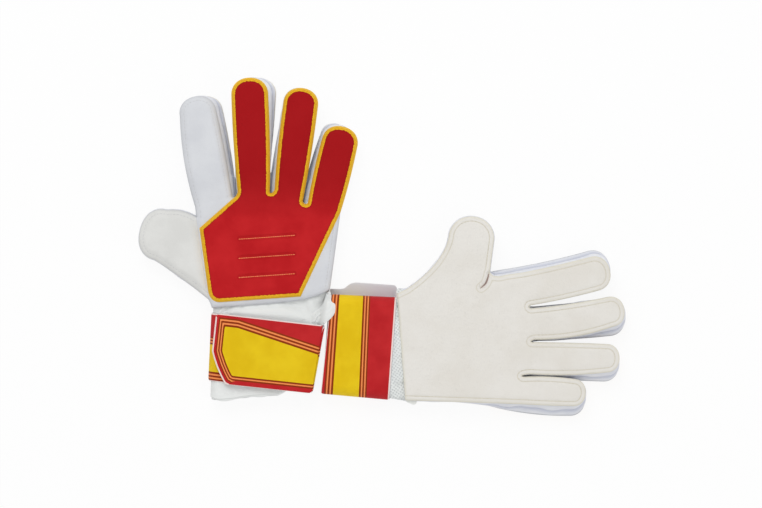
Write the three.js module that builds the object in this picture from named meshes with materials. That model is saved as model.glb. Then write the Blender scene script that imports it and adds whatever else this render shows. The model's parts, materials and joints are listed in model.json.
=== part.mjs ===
// A junior pair of flat-cut goalkeeper gloves, laid out flat: the right glove shows its back and the
// left glove its palm. Sizes are millimetres, angles are degrees and +Z is up.
//
// Each glove is drawn as a right glove in its own frame: +X across the hand away from the thumb, +Y
// towards the fingertips, +Z from the palm to the back, the origin in the middle of the wrist seam on
// the outer face of the palm. The left glove is the mirror image, turned over.
import * as THREE from "three";

// Layers, from the palm to the back of a glove that lies flat
const CLEAR = 0.3; // between pieces that touch or are sewn together
const PALM_THICK = 4; // latex foam on its backing
const WALL_HIGH = 8; // gusset walls, which set the room inside
const BACK_THICK = 3.2;
const HAND_CROWN = 2.6; // how far the padding swells above the edge of the back
const PANEL_THICK = 1.2;
const LINING_THICK = 0.7;
const WALL_THICK = 1.2;
const WALL_INSET = 0.8; // of a gusset from the edge of the faces that it joins
const WALL_TRIM = 1; // of a wall that ends beside another piece
const LINING_INSET = 3.4;
const EDGE_ROUND = 1.2; // of the palm foam's cut edge
const BACK_ROUND = { under: 0.6, over: 0.8 }; // of the back's sewn edge
const SHOULDER_STEPS = [
  [0.3, 0.45],
  [0.6, 0.82],
  [1, 1],
]; // of the padding, as shares of its width and of its rise
const DIGIT_SHOULDER = 6.4; // from the edge of a digit's back to its flat crown
const TOP = PALM_THICK + WALL_HIGH + BACK_THICK + HAND_CROWN + CLEAR + PANEL_THICK;

// The hand, from the wrist seam up
const SEAM = { thumbX: -40, thumbY: -2, littleX: 38.5, littleY: 4 }; // ends of the wrist seam
const OUTER_SIDE = {
  palm: { foot: 36, middle: 35.4 },
  back: { foot: 39.3, middle: 43.4 },
}; // little-finger side, at the wrist and half way up
const OUTER_MIDDLE_Y = 38;
const WEB = { x: -51, y: 60 }; // where the thumb leaves the hand
const THUMB_FOOT = { x: -42.5, y: 4 };
const KNUCKLES_LEFT = { palm: -51.3, back: -52.5 }; // outer side of the index finger
const BACK_SLIT = 15.5; // how much deeper the finger slits are cut in the back than in the palm
const SLIT = { palm: 1.6, back: 2.6 }; // their width
const FINGERS = {
  index: { pitch: { palm: 24, back: 27 }, knuckle: 85, length: 58, tip: { palm: 24, back: 25 } },
  middle: { pitch: { palm: 23, back: 24.5 }, knuckle: 89.5, length: 65, tip: { palm: 22, back: 23.8 } },
  ring: { pitch: { palm: 23.4, back: 23 }, knuckle: 88.5, length: 59.5, tip: { palm: 20.5, back: 22.3 } },
  little: { pitch: { palm: 18.8, back: 24.4 }, knuckle: 82, length: 43.2, tip: { palm: 18, back: 22.5 } },
};
const FINGER_CAP = 0.46; // length of the round end as a share of its width
const FINGER_SQUARE = 2.3; // exponent of the round end, where 2 is an ellipse
const FINGER_BOW = 0.6; // how far a finger's sides swell
const THUMB = { tipX: -88.5, tipY: 50.5, turn: 80, width: 28, cap: 13, square: 2.8, bowWeb: 1.2, bowFoot: 4 };

// The overlay on the back and its flex slots
const PANEL_MARGIN = 4.6;
const PANEL_CORNER = { x: -45, y: 50 }; // where its edge passes below the index finger
const PANEL_FOOT = { x: 20, y: 52 }; // ends of its slanted corner, at the wrist and on the outer side
const FLEX_SLOTS = { count: 3, lowest: 20, pitch: 13, length: 40, width: 3.2, x: -3, turn: 4 };

// The cuff and the wrap strap
const CUFF_WALL = 1.4;
const HEM_WIDE = 3.6;
const HEM_THICK = 2.2;
const BAND_THICK = 1.8;
const BAND_WIDE = 43.5;
const TONGUE_THICK = 1.7;
const TONGUE_LONG = 76.5;
const TONGUE_CUT = { along: 14, across: 20, bulge: 1.6 }; // of its slanted corner
const TONGUE_ROUND = 3; // of its other corners
const LOOP_THICK = 0.8;
const HOOK_THICK = 0.6;
const PAD_MARGIN = 3; // of the loop and hook pads from the strap's edges
const HOOK_LONG = 42;
const BAND_END = 12; // where the sewn end of the band lies, past the middle of the wrist

// How each glove lies: the digits' headings in the palm and the back layer, how far each layer has
// slipped towards the little finger, and the wrist's turn and shift, where its strap lies, how wide it is
// at the strap's two edges and how far the cuff reaches past the strap
const TURN_RIGHT = {
  palm: { index: 11, middle: -5, ring: -10, little: -18 },
  back: { index: 11, middle: 2, ring: -7, little: -14 },
};
const SLIP_RIGHT = { palm: 3, back: 1 };
const WRIST_RIGHT = { turn: -6.5, x: -0.8, strapY: -11, wide: 78.5, narrow: 73 };
const HEM_RIGHT = { thumb: 14.5, little: 2.5 };
const TURN_LEFT = {
  palm: { index: 13, middle: 6, ring: -1, little: -6.5 },
  back: { index: 12.5, middle: 3.5, ring: -3, little: -3.5 },
};
const SLIP_LEFT = { palm: 0, back: -1.5 };
const WRIST_LEFT = { turn: -4, x: 1.8, strapY: -5.5, wide: 69, narrow: 67.5 };
const HEM_LEFT = { thumb: -1.5, little: -1.5 };
const LIE = {
  right: { turn: TURN_RIGHT, slip: SLIP_RIGHT, wrist: WRIST_RIGHT, hem: HEM_RIGHT },
  left: { turn: TURN_LEFT, slip: SLIP_LEFT, wrist: WRIST_LEFT, hem: HEM_LEFT },
};

// The left glove's cuff points at the right glove's wrist, beside it and this far along it
const BESIDE = 0.85;
const ALONG = 28.6;

// Smoothness of the curves
const SIDE_STEPS = 4;
const CAP_STEPS = 14;
const ARC_STEPS = 5;
const SLOT_STEPS = 6;
const CORNER_STEPS = 3;
const STRAIGHT = 0.2; // sine of the turn under which a corner counts as straight

// Finishes
const finish = (color, roughness) => new THREE.MeshStandardMaterial({ color, roughness, metalness: 0 });
const LATEX = finish(0xe0dcd2, 0.85);
const WHITE_FOAM = finish(0xd8dadf, 0.75);
const THUMB_FOAM = finish(0xdedfda, 0.75);
const RED_FOAM = finish(0xb12024, 0.8);
const GUSSET_CLOTH = finish(0xc6ccd8, 0.8);
const LINING_CLOTH = finish(0xcfd2d6, 0.9);
const CUFF_CLOTH = finish(0xdcdedc, 0.85);
const CUFF_MESH = finish(0xd4d9da, 0.85);
const STRAP_YELLOW = finish(0xe8c414, 0.6);
const STRAP_RED = finish(0xc42c30, 0.6);
const LOOP_PILE = finish(0xe2e2de, 0.95);
const HOOK_PLASTIC = finish(0xc8c6cd, 0.6);

// Directions in the plane of a flat glove, for a heading turned counter-clockwise from the fingers
const point = (x, y) => new THREE.Vector2(x, y);
const radians = THREE.MathUtils.degToRad;
const heading = (turn) => point(-Math.sin(radians(turn)), Math.cos(radians(turn)));
const across = (turn) => point(Math.cos(radians(turn)), Math.sin(radians(turn)));
const along = (from, direction, distance) => from.clone().addScaledVector(direction, distance);

// A closed body from points and triangles, which is turned right side out
function closedBody(points, triangles) {
  const [a, b, c] = [0, 0, 0].map(() => new THREE.Vector3());
  const volume = triangles.reduce((sum, [i, j, k]) => {
    a.fromArray(points[i]);
    b.fromArray(points[j]);
    c.fromArray(points[k]);
    return sum + a.dot(b.cross(c));
  }, 0);
  const outward = volume < 0 ? triangles.map(([i, j, k]) => [i, k, j]) : triangles;
  const body = new THREE.BufferGeometry();
  body.setAttribute("position", new THREE.Float32BufferAttribute(points.flat(), 3));
  body.setIndex(outward.flat());
  return body;
}

// A counter-clockwise outline whose edges are each drawn in by a distance of their own
function inset(outline, distanceOf) {
  const inwardOf = (i) => {
    const run = outline[(i + 1) % outline.length].clone().sub(outline[i]).normalize();
    return point(-run.y, run.x);
  };
  return outline.map((corner, i) => {
    const before = (i + outline.length - 1) % outline.length;
    const [a, b] = [inwardOf(before), inwardOf(i)];
    const [aIn, bIn] = [distanceOf(before), distanceOf(i)];
    const turn = a.cross(b);
    if (Math.abs(turn) < STRAIGHT) return along(corner, a.add(b).normalize(), (aIn + bIn) / 2);
    const x = (aIn * b.y - bIn * a.y) / turn;
    const y = (bIn * a.x - aIn * b.x) / turn;
    return point(corner.x + x, corner.y + y);
  });
}

// A sheet cut to an outline: each level is [how far it is drawn in, its height], from the bottom up
function cutSheet(outlineAt, levels) {
  const rings = levels.map(([drawnIn]) => outlineAt(drawnIn));
  const points = rings.flatMap((ring, k) => ring.map((p) => [p.x, p.y, levels[k][1]]));
  const count = rings[0].length;
  const triangles = [];
  for (let k = 0; k + 1 < rings.length; k++) {
    for (let i = 0; i < count; i++) {
      const next = (i + 1) % count;
      const [a, b] = [k * count + i, k * count + next];
      triangles.push([a, b, b + count], [a, b + count, a + count]);
    }
  }
  const lid = (ring, first, up) => {
    for (const [i, j, k] of THREE.ShapeUtils.triangulateShape(ring, [])) {
      const turn = ring[j].clone().sub(ring[i]).cross(ring[k].clone().sub(ring[i]));
      const face = turn > 0 === up ? [i, j, k] : [i, k, j];
      triangles.push(face.map((corner) => corner + first));
    }
  };
  lid(rings[0], 0, false);
  lid(rings.at(-1), (rings.length - 1) * count, true);
  return closedBody(points, triangles);
}

// A flat plate of an outline
function plate(outline, low, thick) {
  const bothFaces = [low, low + thick].map((z) => [0, z]);
  return cutSheet(() => outline, bothFaces);
}

// A thick sheet between two grids of points, such as a bent band or a wall
function thickSheet(outer, inner) {
  const [rows, columns] = [outer.length, outer[0].length];
  const points = [...outer.flat(), ...inner.flat()];
  const out = (r, c) => r * columns + c;
  const back = (r, c) => rows * columns + r * columns + c;
  const triangles = [];
  const quad = (a, b, c, d) => triangles.push([a, b, c], [a, c, d]);
  for (let r = 0; r + 1 < rows; r++) {
    for (let c = 0; c + 1 < columns; c++) {
      quad(out(r, c), out(r, c + 1), out(r + 1, c + 1), out(r + 1, c));
      quad(back(r, c), back(r + 1, c), back(r + 1, c + 1), back(r, c + 1));
    }
    quad(out(r, 0), out(r + 1, 0), back(r + 1, 0), back(r, 0));
    const last = columns - 1;
    quad(out(r + 1, last), out(r, last), back(r, last), back(r + 1, last));
  }
  for (let c = 0; c + 1 < columns; c++) {
    quad(out(0, c + 1), out(0, c), back(0, c), back(0, c + 1));
    quad(out(rows - 1, c), out(rows - 1, c + 1), back(rows - 1, c + 1), back(rows - 1, c));
  }
  return closedBody(points, triangles);
}

// Heights of the layers
const WALL_LOW = PALM_THICK + CLEAR;
const BACK_LOW = PALM_THICK + WALL_HIGH;
const WALL_TOP = BACK_LOW - CLEAR;
const EDGE_TOP = BACK_LOW + BACK_THICK;

const PALM_LEVELS = [
  [EDGE_ROUND, 0],
  [0, EDGE_ROUND],
  [0, PALM_THICK - EDGE_ROUND / 2],
  [EDGE_ROUND / 2, PALM_THICK],
];

// The padded back swells from its sewn edge to a flat crown
function backLevels(crownTop, shoulder) {
  return [
    [BACK_ROUND.under, BACK_LOW],
    [0, BACK_LOW + BACK_ROUND.under],
    [0, EDGE_TOP - BACK_ROUND.over],
    ...SHOULDER_STEPS.map(([drawnIn, rise]) => [
      drawnIn * shoulder,
      THREE.MathUtils.lerp(EDGE_TOP, crownTop, rise),
    ]),
  ];
}
const HAND_LEVELS = backLevels(EDGE_TOP + HAND_CROWN, PANEL_MARGIN - 2 * CLEAR);
const DIGIT_LEVELS = backLevels(TOP, DIGIT_SHOULDER);

// The outline of a digit's face, drawn in all round but at its base: up its right side, round the tip
// and down its left side
function digitOutline(digit, drawnIn) {
  const { left, right, tip, turn, width, cap, square, bowRight, bowLeft } = digit;
  const middle = along(tip, heading(turn), -cap);
  const half = width / 2 - drawnIn;
  const shoulder = (side) => along(middle, across(turn), side * half);
  const foot = (from, opposite, side) => {
    const inward = opposite.clone().sub(from).normalize();
    const upward = along(middle, across(turn), (side * width) / 2).sub(from).normalize();
    return along(from, inward, drawnIn / Math.abs(inward.cross(upward)));
  };
  const side = (from, to, bow) => {
    const control = along(from.clone().lerp(to, 0.5), across(turn), 2 * bow);
    return new THREE.QuadraticBezierCurve(from, control, to).getPoints(SIDE_STEPS);
  };
  const roundEnd = [];
  for (let i = 1; i < CAP_STEPS; i++) {
    const angle = (Math.PI * i) / CAP_STEPS;
    const reach = Math.sign(Math.cos(angle)) * Math.abs(Math.cos(angle)) ** (2 / square);
    const ahead = (cap - drawnIn) * Math.sin(angle) ** (2 / square);
    roundEnd.push(along(along(middle, across(turn), reach * half), heading(turn), ahead));
  }
  const rightSide = side(foot(right, left, 1), shoulder(1), bowRight);
  const leftSide = side(shoulder(-1), foot(left, right, -1), -bowLeft);
  return [...rightSide, ...roundEnd, ...leftSide];
}

// Where each finger begins in one layer: the middle of its knuckle line, half its width and its heading
function fingerBases(lie, layer) {
  const bases = {};
  let edge = KNUCKLES_LEFT[layer] + lie.slip[layer];
  for (const [name, finger] of Object.entries(FINGERS)) {
    const pitch = finger.pitch[layer];
    const y = finger.knuckle - (layer === "back" ? BACK_SLIT : 0);
    const hinge = lie.turn.palm[name];
    bases[name] = {
      middle: point(edge + pitch / 2, y),
      half: (pitch - SLIT[layer]) / 2,
      hinge,
    };
    edge += pitch;
  }
  return bases;
}

// One face of a finger, whose straight base lies just past its knuckle line
function fingerFace(name, lie, layer) {
  const { middle, half, hinge } = fingerBases(lie, layer)[name];
  const start = along(middle, heading(hinge), CLEAR / 2);
  const turn = lie.turn[layer][name];
  const width = FINGERS[name].tip[layer];
  const length = FINGERS[name].length + (layer === "back" ? BACK_SLIT : 0);
  const face = {
    left: along(start, across(hinge), -half),
    right: along(start, across(hinge), half),
    tip: along(middle, heading(turn), length),
    turn,
    width,
    cap: FINGER_CAP * width,
    square: FINGER_SQUARE,
    bowRight: FINGER_BOW,
    bowLeft: FINGER_BOW,
  };
  return (drawnIn) => digitOutline(face, drawnIn);
}

// The line at which the thumb meets the hand, and the direction in which it points away from it
const thumbFoot = point(THUMB_FOOT.x, THUMB_FOOT.y);
const thumbWeb = point(WEB.x, WEB.y);
const thumbLine = thumbWeb.clone().sub(thumbFoot).normalize();
const thumbAway = point(-thumbLine.y, thumbLine.x);

function thumbFace() {
  const face = {
    left: along(thumbFoot, thumbAway, CLEAR / 2),
    right: along(thumbWeb, thumbAway, CLEAR / 2),
    tip: point(THUMB.tipX, THUMB.tipY),
    turn: THUMB.turn,
    width: THUMB.width,
    cap: THUMB.cap,
    square: THUMB.square,
    bowRight: THUMB.bowWeb,
    bowLeft: -THUMB.bowFoot,
  };
  return (drawnIn) => digitOutline(face, drawnIn);
}

// The hand's face in one layer: its outline, counter-clockwise from the thumb end of the wrist seam, at
// any drawing in of its free edges and of those that the digits join, and the places in the outline of
// the outer side, the knuckles and the index finger's side
function handFace(lie, layer) {
  const bases = fingerBases(lie, layer);
  const knuckles = Object.values(bases)
    .reverse()
    .flatMap(({ middle, half, hinge }) => {
      const line = along(middle, heading(hinge), -CLEAR / 2);
      return [half + CLEAR, -half - CLEAR].map((reach) => along(line, across(hinge), reach));
    });
  const { foot, middle } = OUTER_SIDE[layer];
  const outer = new THREE.QuadraticBezierCurve(
    point(foot, SEAM.littleY),
    point(middle, OUTER_MIDDLE_Y),
    knuckles[0],
  ).getPoints(2 * SIDE_STEPS);
  const web = along(thumbWeb, thumbAway, -CLEAR / 2);
  const indexSide = [knuckles.at(-1), web];
  const start = [point(SEAM.thumbX, SEAM.thumbY)];
  const rest = [along(thumbFoot, thumbAway, -CLEAR / 2)];
  const outline = [...start, ...outer.slice(0, -1), ...knuckles.slice(0, -1), ...indexSide, ...rest];
  const knuckleStart = start.length + outer.length - 1;
  const indexStart = knuckleStart + knuckles.length - 1;
  const drawnIn = inset(outline, () => LINING_INSET);
  const behindKnuckles = Object.values(bases)
    .reverse()
    .map(({ middle, hinge }) => along(middle, heading(hinge), -LINING_INSET));
  const atDigit = (edge) =>
    (edge >= knuckleStart && edge < indexStart) || edge === indexStart + indexSide.length - 1;
  return {
    at: (free, joined = 0) => inset(outline, (edge) => (atDigit(edge) ? joined : free)),
    outer: [start.length, knuckleStart + 1],
    lining: [...drawnIn.slice(0, knuckleStart + 1), ...behindKnuckles, ...drawnIn.slice(indexStart)],
    knucklesEnd: indexStart + 1,
    index: [indexStart, indexStart + indexSide.length],
  };
}

// A wall of cloth between the edges of a palm face and a back face, for one run of their outlines
function wallBetween(palmAt, backAt, from = 0, to = Infinity, trim = 0) {
  const edge = (outlineAt, drawnIn, z) =>
    outlineAt(drawnIn)
      .slice(from, to)
      .map((p, i, run) => {
        const next = run[i === 0 ? 1 : run.length - 2];
        const atEnd = trim && (i === 0 || i === run.length - 1);
        const q = atEnd ? along(p, next.clone().sub(p).normalize(), trim) : p;
        return [q.x, q.y, z];
      });
  const face = (drawnIn) => [
    edge(palmAt, drawnIn, WALL_LOW),
    edge(backAt, drawnIn, WALL_TOP),
  ];
  return thickSheet(face(WALL_INSET), face(WALL_INSET + WALL_THICK));
}

function makeGlove(side) {
  const lie = LIE[side];
  const mirrored = side === "left";
  const glove = new THREE.Group();

  // Each mesh is drawn in the right glove's frame and mirrored for the left one
  function piece(name, geometry, material) {
    const position = geometry.attributes.position;
    const points = [];
    for (let i = 0; i < position.count; i++) {
      points.push([(mirrored ? -1 : 1) * position.getX(i), position.getY(i), position.getZ(i)]);
    }
    const corners = geometry.index ? Array.from(geometry.index.array) : [...points.keys()];
    const triangles = [];
    for (let i = 0; i < corners.length; i += 3) triangles.push(corners.slice(i, i + 3));
    const mesh = new THREE.Mesh(closedBody(points, triangles), material);
    mesh.name = `${side}_${name}`;
    glove.add(mesh);
    return mesh;
  }

  // A pivot on a hinge line, whose own X axis is the axis and which carries the pieces that turn
  function pivot(name, at, z, away, opens, pieces) {
    const flip = mirrored ? -1 : 1;
    const direction = point(flip * away.x, away.y);
    const axis = point(-direction.y, direction.x).multiplyScalar(-opens);
    const hinge = new THREE.Group();
    hinge.name = `${side}_${name}_hinge`;
    hinge.position.set(flip * at.x, at.y, z);
    hinge.rotation.z = Math.atan2(axis.y, axis.x);
    glove.add(hinge);
    hinge.updateMatrixWorld(true);
    for (const mesh of pieces) hinge.attach(mesh);
  }

  const palm = handFace(lie, "palm");
  const back = handFace(lie, "back");

  // The hand
  piece("palm", cutSheet(palm.at, PALM_LEVELS), LATEX);
  piece("backhand", cutSheet(back.at, HAND_LEVELS), WHITE_FOAM);
  piece("palm_lining", plate(palm.lining, WALL_LOW, LINING_THICK), LINING_CLOTH);
  piece("back_lining", plate(back.lining, WALL_TOP - LINING_THICK, LINING_THICK), LINING_CLOTH);
  piece("back_panel", panelBody(back), RED_FOAM);
  piece("side_gusset", wallBetween(palm.at, back.at, ...palm.outer, WALL_TRIM), GUSSET_CLOTH);
  piece("web_gusset", wallBetween(palm.at, back.at, ...palm.index, WALL_TRIM), GUSSET_CLOTH);

  // The digits
  for (const name of Object.keys(FINGERS)) {
    const palmFace = fingerFace(name, lie, "palm");
    const backFace = fingerFace(name, lie, "back");
    const { middle, hinge } = fingerBases(lie, "palm")[name];
    pivot(name, middle, 0, heading(hinge), -1, [
      piece(`${name}_palm`, cutSheet(palmFace, PALM_LEVELS), LATEX),
      piece(`${name}_back`, cutSheet(backFace, DIGIT_LEVELS), name === "index" ? WHITE_FOAM : RED_FOAM),
      piece(`${name}_gusset`, wallBetween(palmFace, backFace), GUSSET_CLOTH),
    ]);
  }
  const thumb = thumbFace();
  pivot("thumb", thumbFoot.clone().lerp(thumbWeb, 0.5), 0, thumbAway, -1, [
    piece("thumb_palm", cutSheet(thumb, PALM_LEVELS), LATEX),
    piece("thumb_back", cutSheet(thumb, DIGIT_LEVELS), THUMB_FOAM),
    piece("thumb_gusset", wallBetween(thumb, thumb), GUSSET_CLOTH),
  ]);

  makeWrist(lie.wrist, lie.hem, piece, pivot);
  return glove;
}

// The overlay sewn on the crown of the back: all of the back but the index finger's base and the lower
// outer corner, with round-ended slots across it in which the back flexes
function panelBody(back) {
  const edge = back.at(PANEL_MARGIN);
  const crossing = (i, key, value) =>
    edge[i].clone().lerp(edge[i + 1], (value - edge[i][key]) / (edge[i + 1][key] - edge[i][key]));
  const above = edge.findIndex((corner, i) => i > 1 && corner.y > PANEL_FOOT.y);
  const shape = new THREE.Shape([
    edge[0],
    crossing(0, "x", PANEL_FOOT.x),
    crossing(above - 1, "y", PANEL_FOOT.y),
    ...edge.slice(above, back.knucklesEnd - 2),
    point(PANEL_CORNER.x, PANEL_CORNER.y),
    edge.at(-1),
  ]);
  for (let i = 0; i < FLEX_SLOTS.count; i++) {
    const middle = point(FLEX_SLOTS.x, FLEX_SLOTS.lowest + i * FLEX_SLOTS.pitch);
    shape.holes.push(new THREE.Path(slotOutline(middle)));
  }
  const panel = new THREE.ExtrudeGeometry(shape, { depth: PANEL_THICK, bevelEnabled: false });
  panel.translate(0, 0, EDGE_TOP + HAND_CROWN + CLEAR);
  return panel;
}

function slotOutline(middle) {
  const half = (FLEX_SLOTS.length - FLEX_SLOTS.width) / 2;
  const outline = [];
  for (const end of [1, -1]) {
    for (let i = 0; i <= SLOT_STEPS; i++) {
      const angle = radians(FLEX_SLOTS.turn + (180 * i) / SLOT_STEPS - 90 * end);
      const centre = along(middle, across(FLEX_SLOTS.turn), end * half);
      outline.push(along(centre, point(Math.cos(angle), Math.sin(angle)), FLEX_SLOTS.width / 2));
    }
  }
  return outline;
}

// Heights in the wrist, from the outside of the band on the palm to the tongue level with the back
const CUFF_LOW = BAND_THICK + CLEAR;
const TONGUE_LOW = TOP - TONGUE_THICK;
const HOOK_LOW = TONGUE_LOW - CLEAR - HOOK_THICK;
const LOOP_LOW = HOOK_LOW - CLEAR - LOOP_THICK;
const BAND_TOP = LOOP_LOW - CLEAR;
const CUFF_TOP = BAND_TOP - BAND_THICK - CLEAR;

// Half of a flattened tube's section, from its right end over the top (1) or underneath (-1)
function halfLoop(width, low, high, over) {
  const radius = (high - low) / 2;
  const run = [];
  for (const end of [1, -1]) {
    for (let i = 0; i <= ARC_STEPS; i++) {
      const angle = radians((90 * i) / ARC_STEPS + (end > 0 ? 0 : 90));
      const x = end * (width / 2 - radius) + radius * Math.cos(angle);
      run.push([x, (low + high) / 2 + over * radius * Math.sin(angle)]);
    }
  }
  return run;
}

function makeWrist(wrist, hem, piece, pivot) {
  const [crossing, lengthwise] = [across(wrist.turn), heading(wrist.turn)];
  const onWrist = (x, y) => along(point(0, 0), crossing, wrist.x + x).addScaledVector(lengthwise, y);
  const strapEnd = wrist.strapY - BAND_WIDE;

  // A station is a straight cut across the wrist from its thumb end to its other end
  const station = (thumbEnd, otherEnd) => ({ thumbEnd, otherEnd, width: thumbEnd.distanceTo(otherEnd) });
  const place = ({ thumbEnd, otherEnd, width }, section) =>
    section.map(([x, z]) => {
      const p = thumbEnd.clone().lerp(otherEnd, 0.5 + x / width);
      return [p.x, p.y, z];
    });
  const half = (y) => THREE.MathUtils.lerp(wrist.wide, wrist.narrow, (wrist.strapY - y) / BAND_WIDE) / 2;
  const cutAcross = (thumbY, otherY, drawnIn) =>
    station(onWrist(drawnIn - half(thumbY), thumbY), onWrist(half(otherY) - drawnIn, otherY));

  // The cuff, in two halves that meet at the sides, from the wrist seam to the hem
  const bandRoom = BAND_THICK + CLEAR;
  const [hemThumb, hemLittle] = [hem.thumb, hem.little].map((past) => strapEnd - past + HEM_WIDE);
  const cuffStations = [
    station(point(SEAM.thumbX + 1, SEAM.thumbY - CLEAR), point(SEAM.littleX, SEAM.littleY - CLEAR)),
    cutAcross(wrist.strapY, wrist.strapY, bandRoom),
    cutAcross(hemThumb, hemLittle, bandRoom),
  ];
  const cuffHalf = (over) => {
    const grid = (drawnIn) =>
      cuffStations.map((s) => {
        const middle = (CUFF_LOW + CUFF_TOP) / 2;
        const section = halfLoop(s.width - 2 * drawnIn, CUFF_LOW + drawnIn, CUFF_TOP - drawnIn, over);
        const parted = section.map(([x, z]) => [x, over * Math.max(over * (z - middle), CLEAR / 2) + middle]);
        return place(s, parted);
      });
    return thickSheet(grid(0), grid(CUFF_WALL));
  };
  piece("cuff_back", cuffHalf(1), CUFF_CLOTH);
  piece("cuff_palm", cuffHalf(-1), CUFF_MESH);

  // The bound hem, a ring that is thicker inwards and starts where the cuff ends
  const hemStations = [CLEAR, HEM_WIDE].map((down) =>
    cutAcross(hemThumb - down, hemLittle - down, bandRoom),
  );
  const ring = (s, drawnIn) => {
    const loop = (over) => halfLoop(s.width - 2 * drawnIn, CUFF_LOW + drawnIn, CUFF_TOP - drawnIn, over);
    return place(s, [...loop(1), ...loop(-1).reverse().slice(1, -1)]);
  };
  piece("cuff_hem", ringBody(hemStations.map((s) => [ring(s, 0), ring(s, HEM_THICK)])), CUFF_CLOTH);

  // The band: up the outer side to the tongue's hinge, and round the palm to its sewn end on the back
  const bandGrid = (drawnIn) =>
    [wrist.strapY, strapEnd].map((y) => {
      const s = cutAcross(y, y, 0);
      const [low, high, width] = [drawnIn, BAND_TOP - drawnIn, s.width - 2 * drawnIn];
      const over = halfLoop(width, low, high, 1);
      const under = halfLoop(width, low, high, -1);
      const upright = [
        [width / 2, TONGUE_LOW - CLEAR],
        [width / 2, BAND_TOP - BAND_THICK],
      ];
      const roundThumbSide = over.slice(ARC_STEPS + 1, -1).reverse();
      return place(s, [...upright, ...under, ...roundThumbSide, [BAND_END, high]]);
    });
  piece("strap_band", thickSheet(bandGrid(0), bandGrid(BAND_THICK)), STRAP_RED);

  // The tongue lies over the back of the wrist and the hook pad under it meets the loop pad on the band
  const [wideHalf, narrowHalf] = [wrist.wide / 2, wrist.narrow / 2];
  const tip = wideHalf - TONGUE_LONG;
  const roundCentre = onWrist(tip + TONGUE_ROUND, wrist.strapY - TONGUE_ROUND);
  const roundCorner = Array.from({ length: CORNER_STEPS + 1 }, (_, i) =>
    along(roundCentre, heading(wrist.turn + (90 * i) / CORNER_STEPS), TONGUE_ROUND),
  );
  const cutFrom = onWrist(tip, strapEnd + TONGUE_CUT.across);
  const cutTo = onWrist(tip + TONGUE_CUT.along, strapEnd);
  const cut = cutTo.clone().sub(cutFrom).normalize();
  const tongue = [
    onWrist(wideHalf - CLEAR, wrist.strapY),
    ...roundCorner,
    cutFrom,
    along(cutFrom.clone().lerp(cutTo, 0.5), point(cut.y, -cut.x), TONGUE_CUT.bulge),
    cutTo,
    onWrist(narrowHalf - CLEAR - TONGUE_ROUND, strapEnd),
    onWrist(narrowHalf - CLEAR, strapEnd + TONGUE_ROUND),
  ];
  const rectangle = (x0, x1) =>
    [
      [x0, strapEnd + PAD_MARGIN],
      [x1, strapEnd + PAD_MARGIN],
      [x1, wrist.strapY - PAD_MARGIN],
      [x0, wrist.strapY - PAD_MARGIN],
    ].map(([x, y]) => onWrist(x, y));
  const bandFlat = -narrowHalf + BAND_TOP / 2;
  const hookStart = Math.max(tip + TONGUE_CUT.along, bandFlat);
  piece("loop_pad", plate(rectangle(bandFlat, BAND_END - PAD_MARGIN), LOOP_LOW, LOOP_THICK), LOOP_PILE);
  const hinge = onWrist(wideHalf, (wrist.strapY + strapEnd) / 2);
  pivot("strap_tongue", hinge, TONGUE_LOW - CLEAR / 2, crossing.clone().negate(), 1, [
    piece("strap_tongue", plate(tongue, TONGUE_LOW, TONGUE_THICK), STRAP_YELLOW),
    piece("hook_pad", plate(rectangle(hookStart, hookStart + HOOK_LONG), HOOK_LOW, HOOK_THICK), HOOK_PLASTIC),
  ]);
}

// A ring between two stations, each an outer and an inner loop of points
function ringBody([[outerA, innerA], [outerB, innerB]]) {
  const count = outerA.length;
  const points = [...outerA, ...outerB, ...innerB, ...innerA];
  const triangles = [];
  for (let loop = 0; loop < 4; loop++) {
    for (let i = 0; i < count; i++) {
      const next = (i + 1) % count;
      const after = ((loop + 1) % 4) * count;
      const [a, b, c, d] = [loop * count + i, loop * count + next, after + next, after + i];
      triangles.push([a, b, c], [a, c, d]);
    }
  }
  return closedBody(points, triangles);
}

// The pair as it lies, with the origin under the middle of its box
const pair = new THREE.Group();
const right = makeGlove("right");
const left = makeGlove("left");
const rightSide = WRIST_RIGHT.x + WRIST_RIGHT.wide / 2;
const leftStrapEnd = WRIST_LEFT.strapY - BAND_WIDE;
left.quaternion.setFromAxisAngle(new THREE.Vector3(1, 1, 0).normalize(), Math.PI);
left.position.set(rightSide + BESIDE - leftStrapEnd, -ALONG, TOP);
pair.add(right, left);
const box = new THREE.Box3().setFromObject(pair, true);
const centre = box.getCenter(new THREE.Vector3());
pair.position.set(-centre.x, -centre.y, -box.min.z);

export default pair;
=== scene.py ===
"""A junior pair of flat-cut goalkeeper gloves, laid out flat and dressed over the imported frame.

Every piece is drawn in millimetres in the frame of its own glove, as on the cutting table: u across the
hand away from the thumb, v towards the fingertips and z from the palm to the back.
"""
import json
import math
import bpy
import numpy as np
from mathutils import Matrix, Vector
from mathutils.geometry import delaunay_2d_cdt


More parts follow.
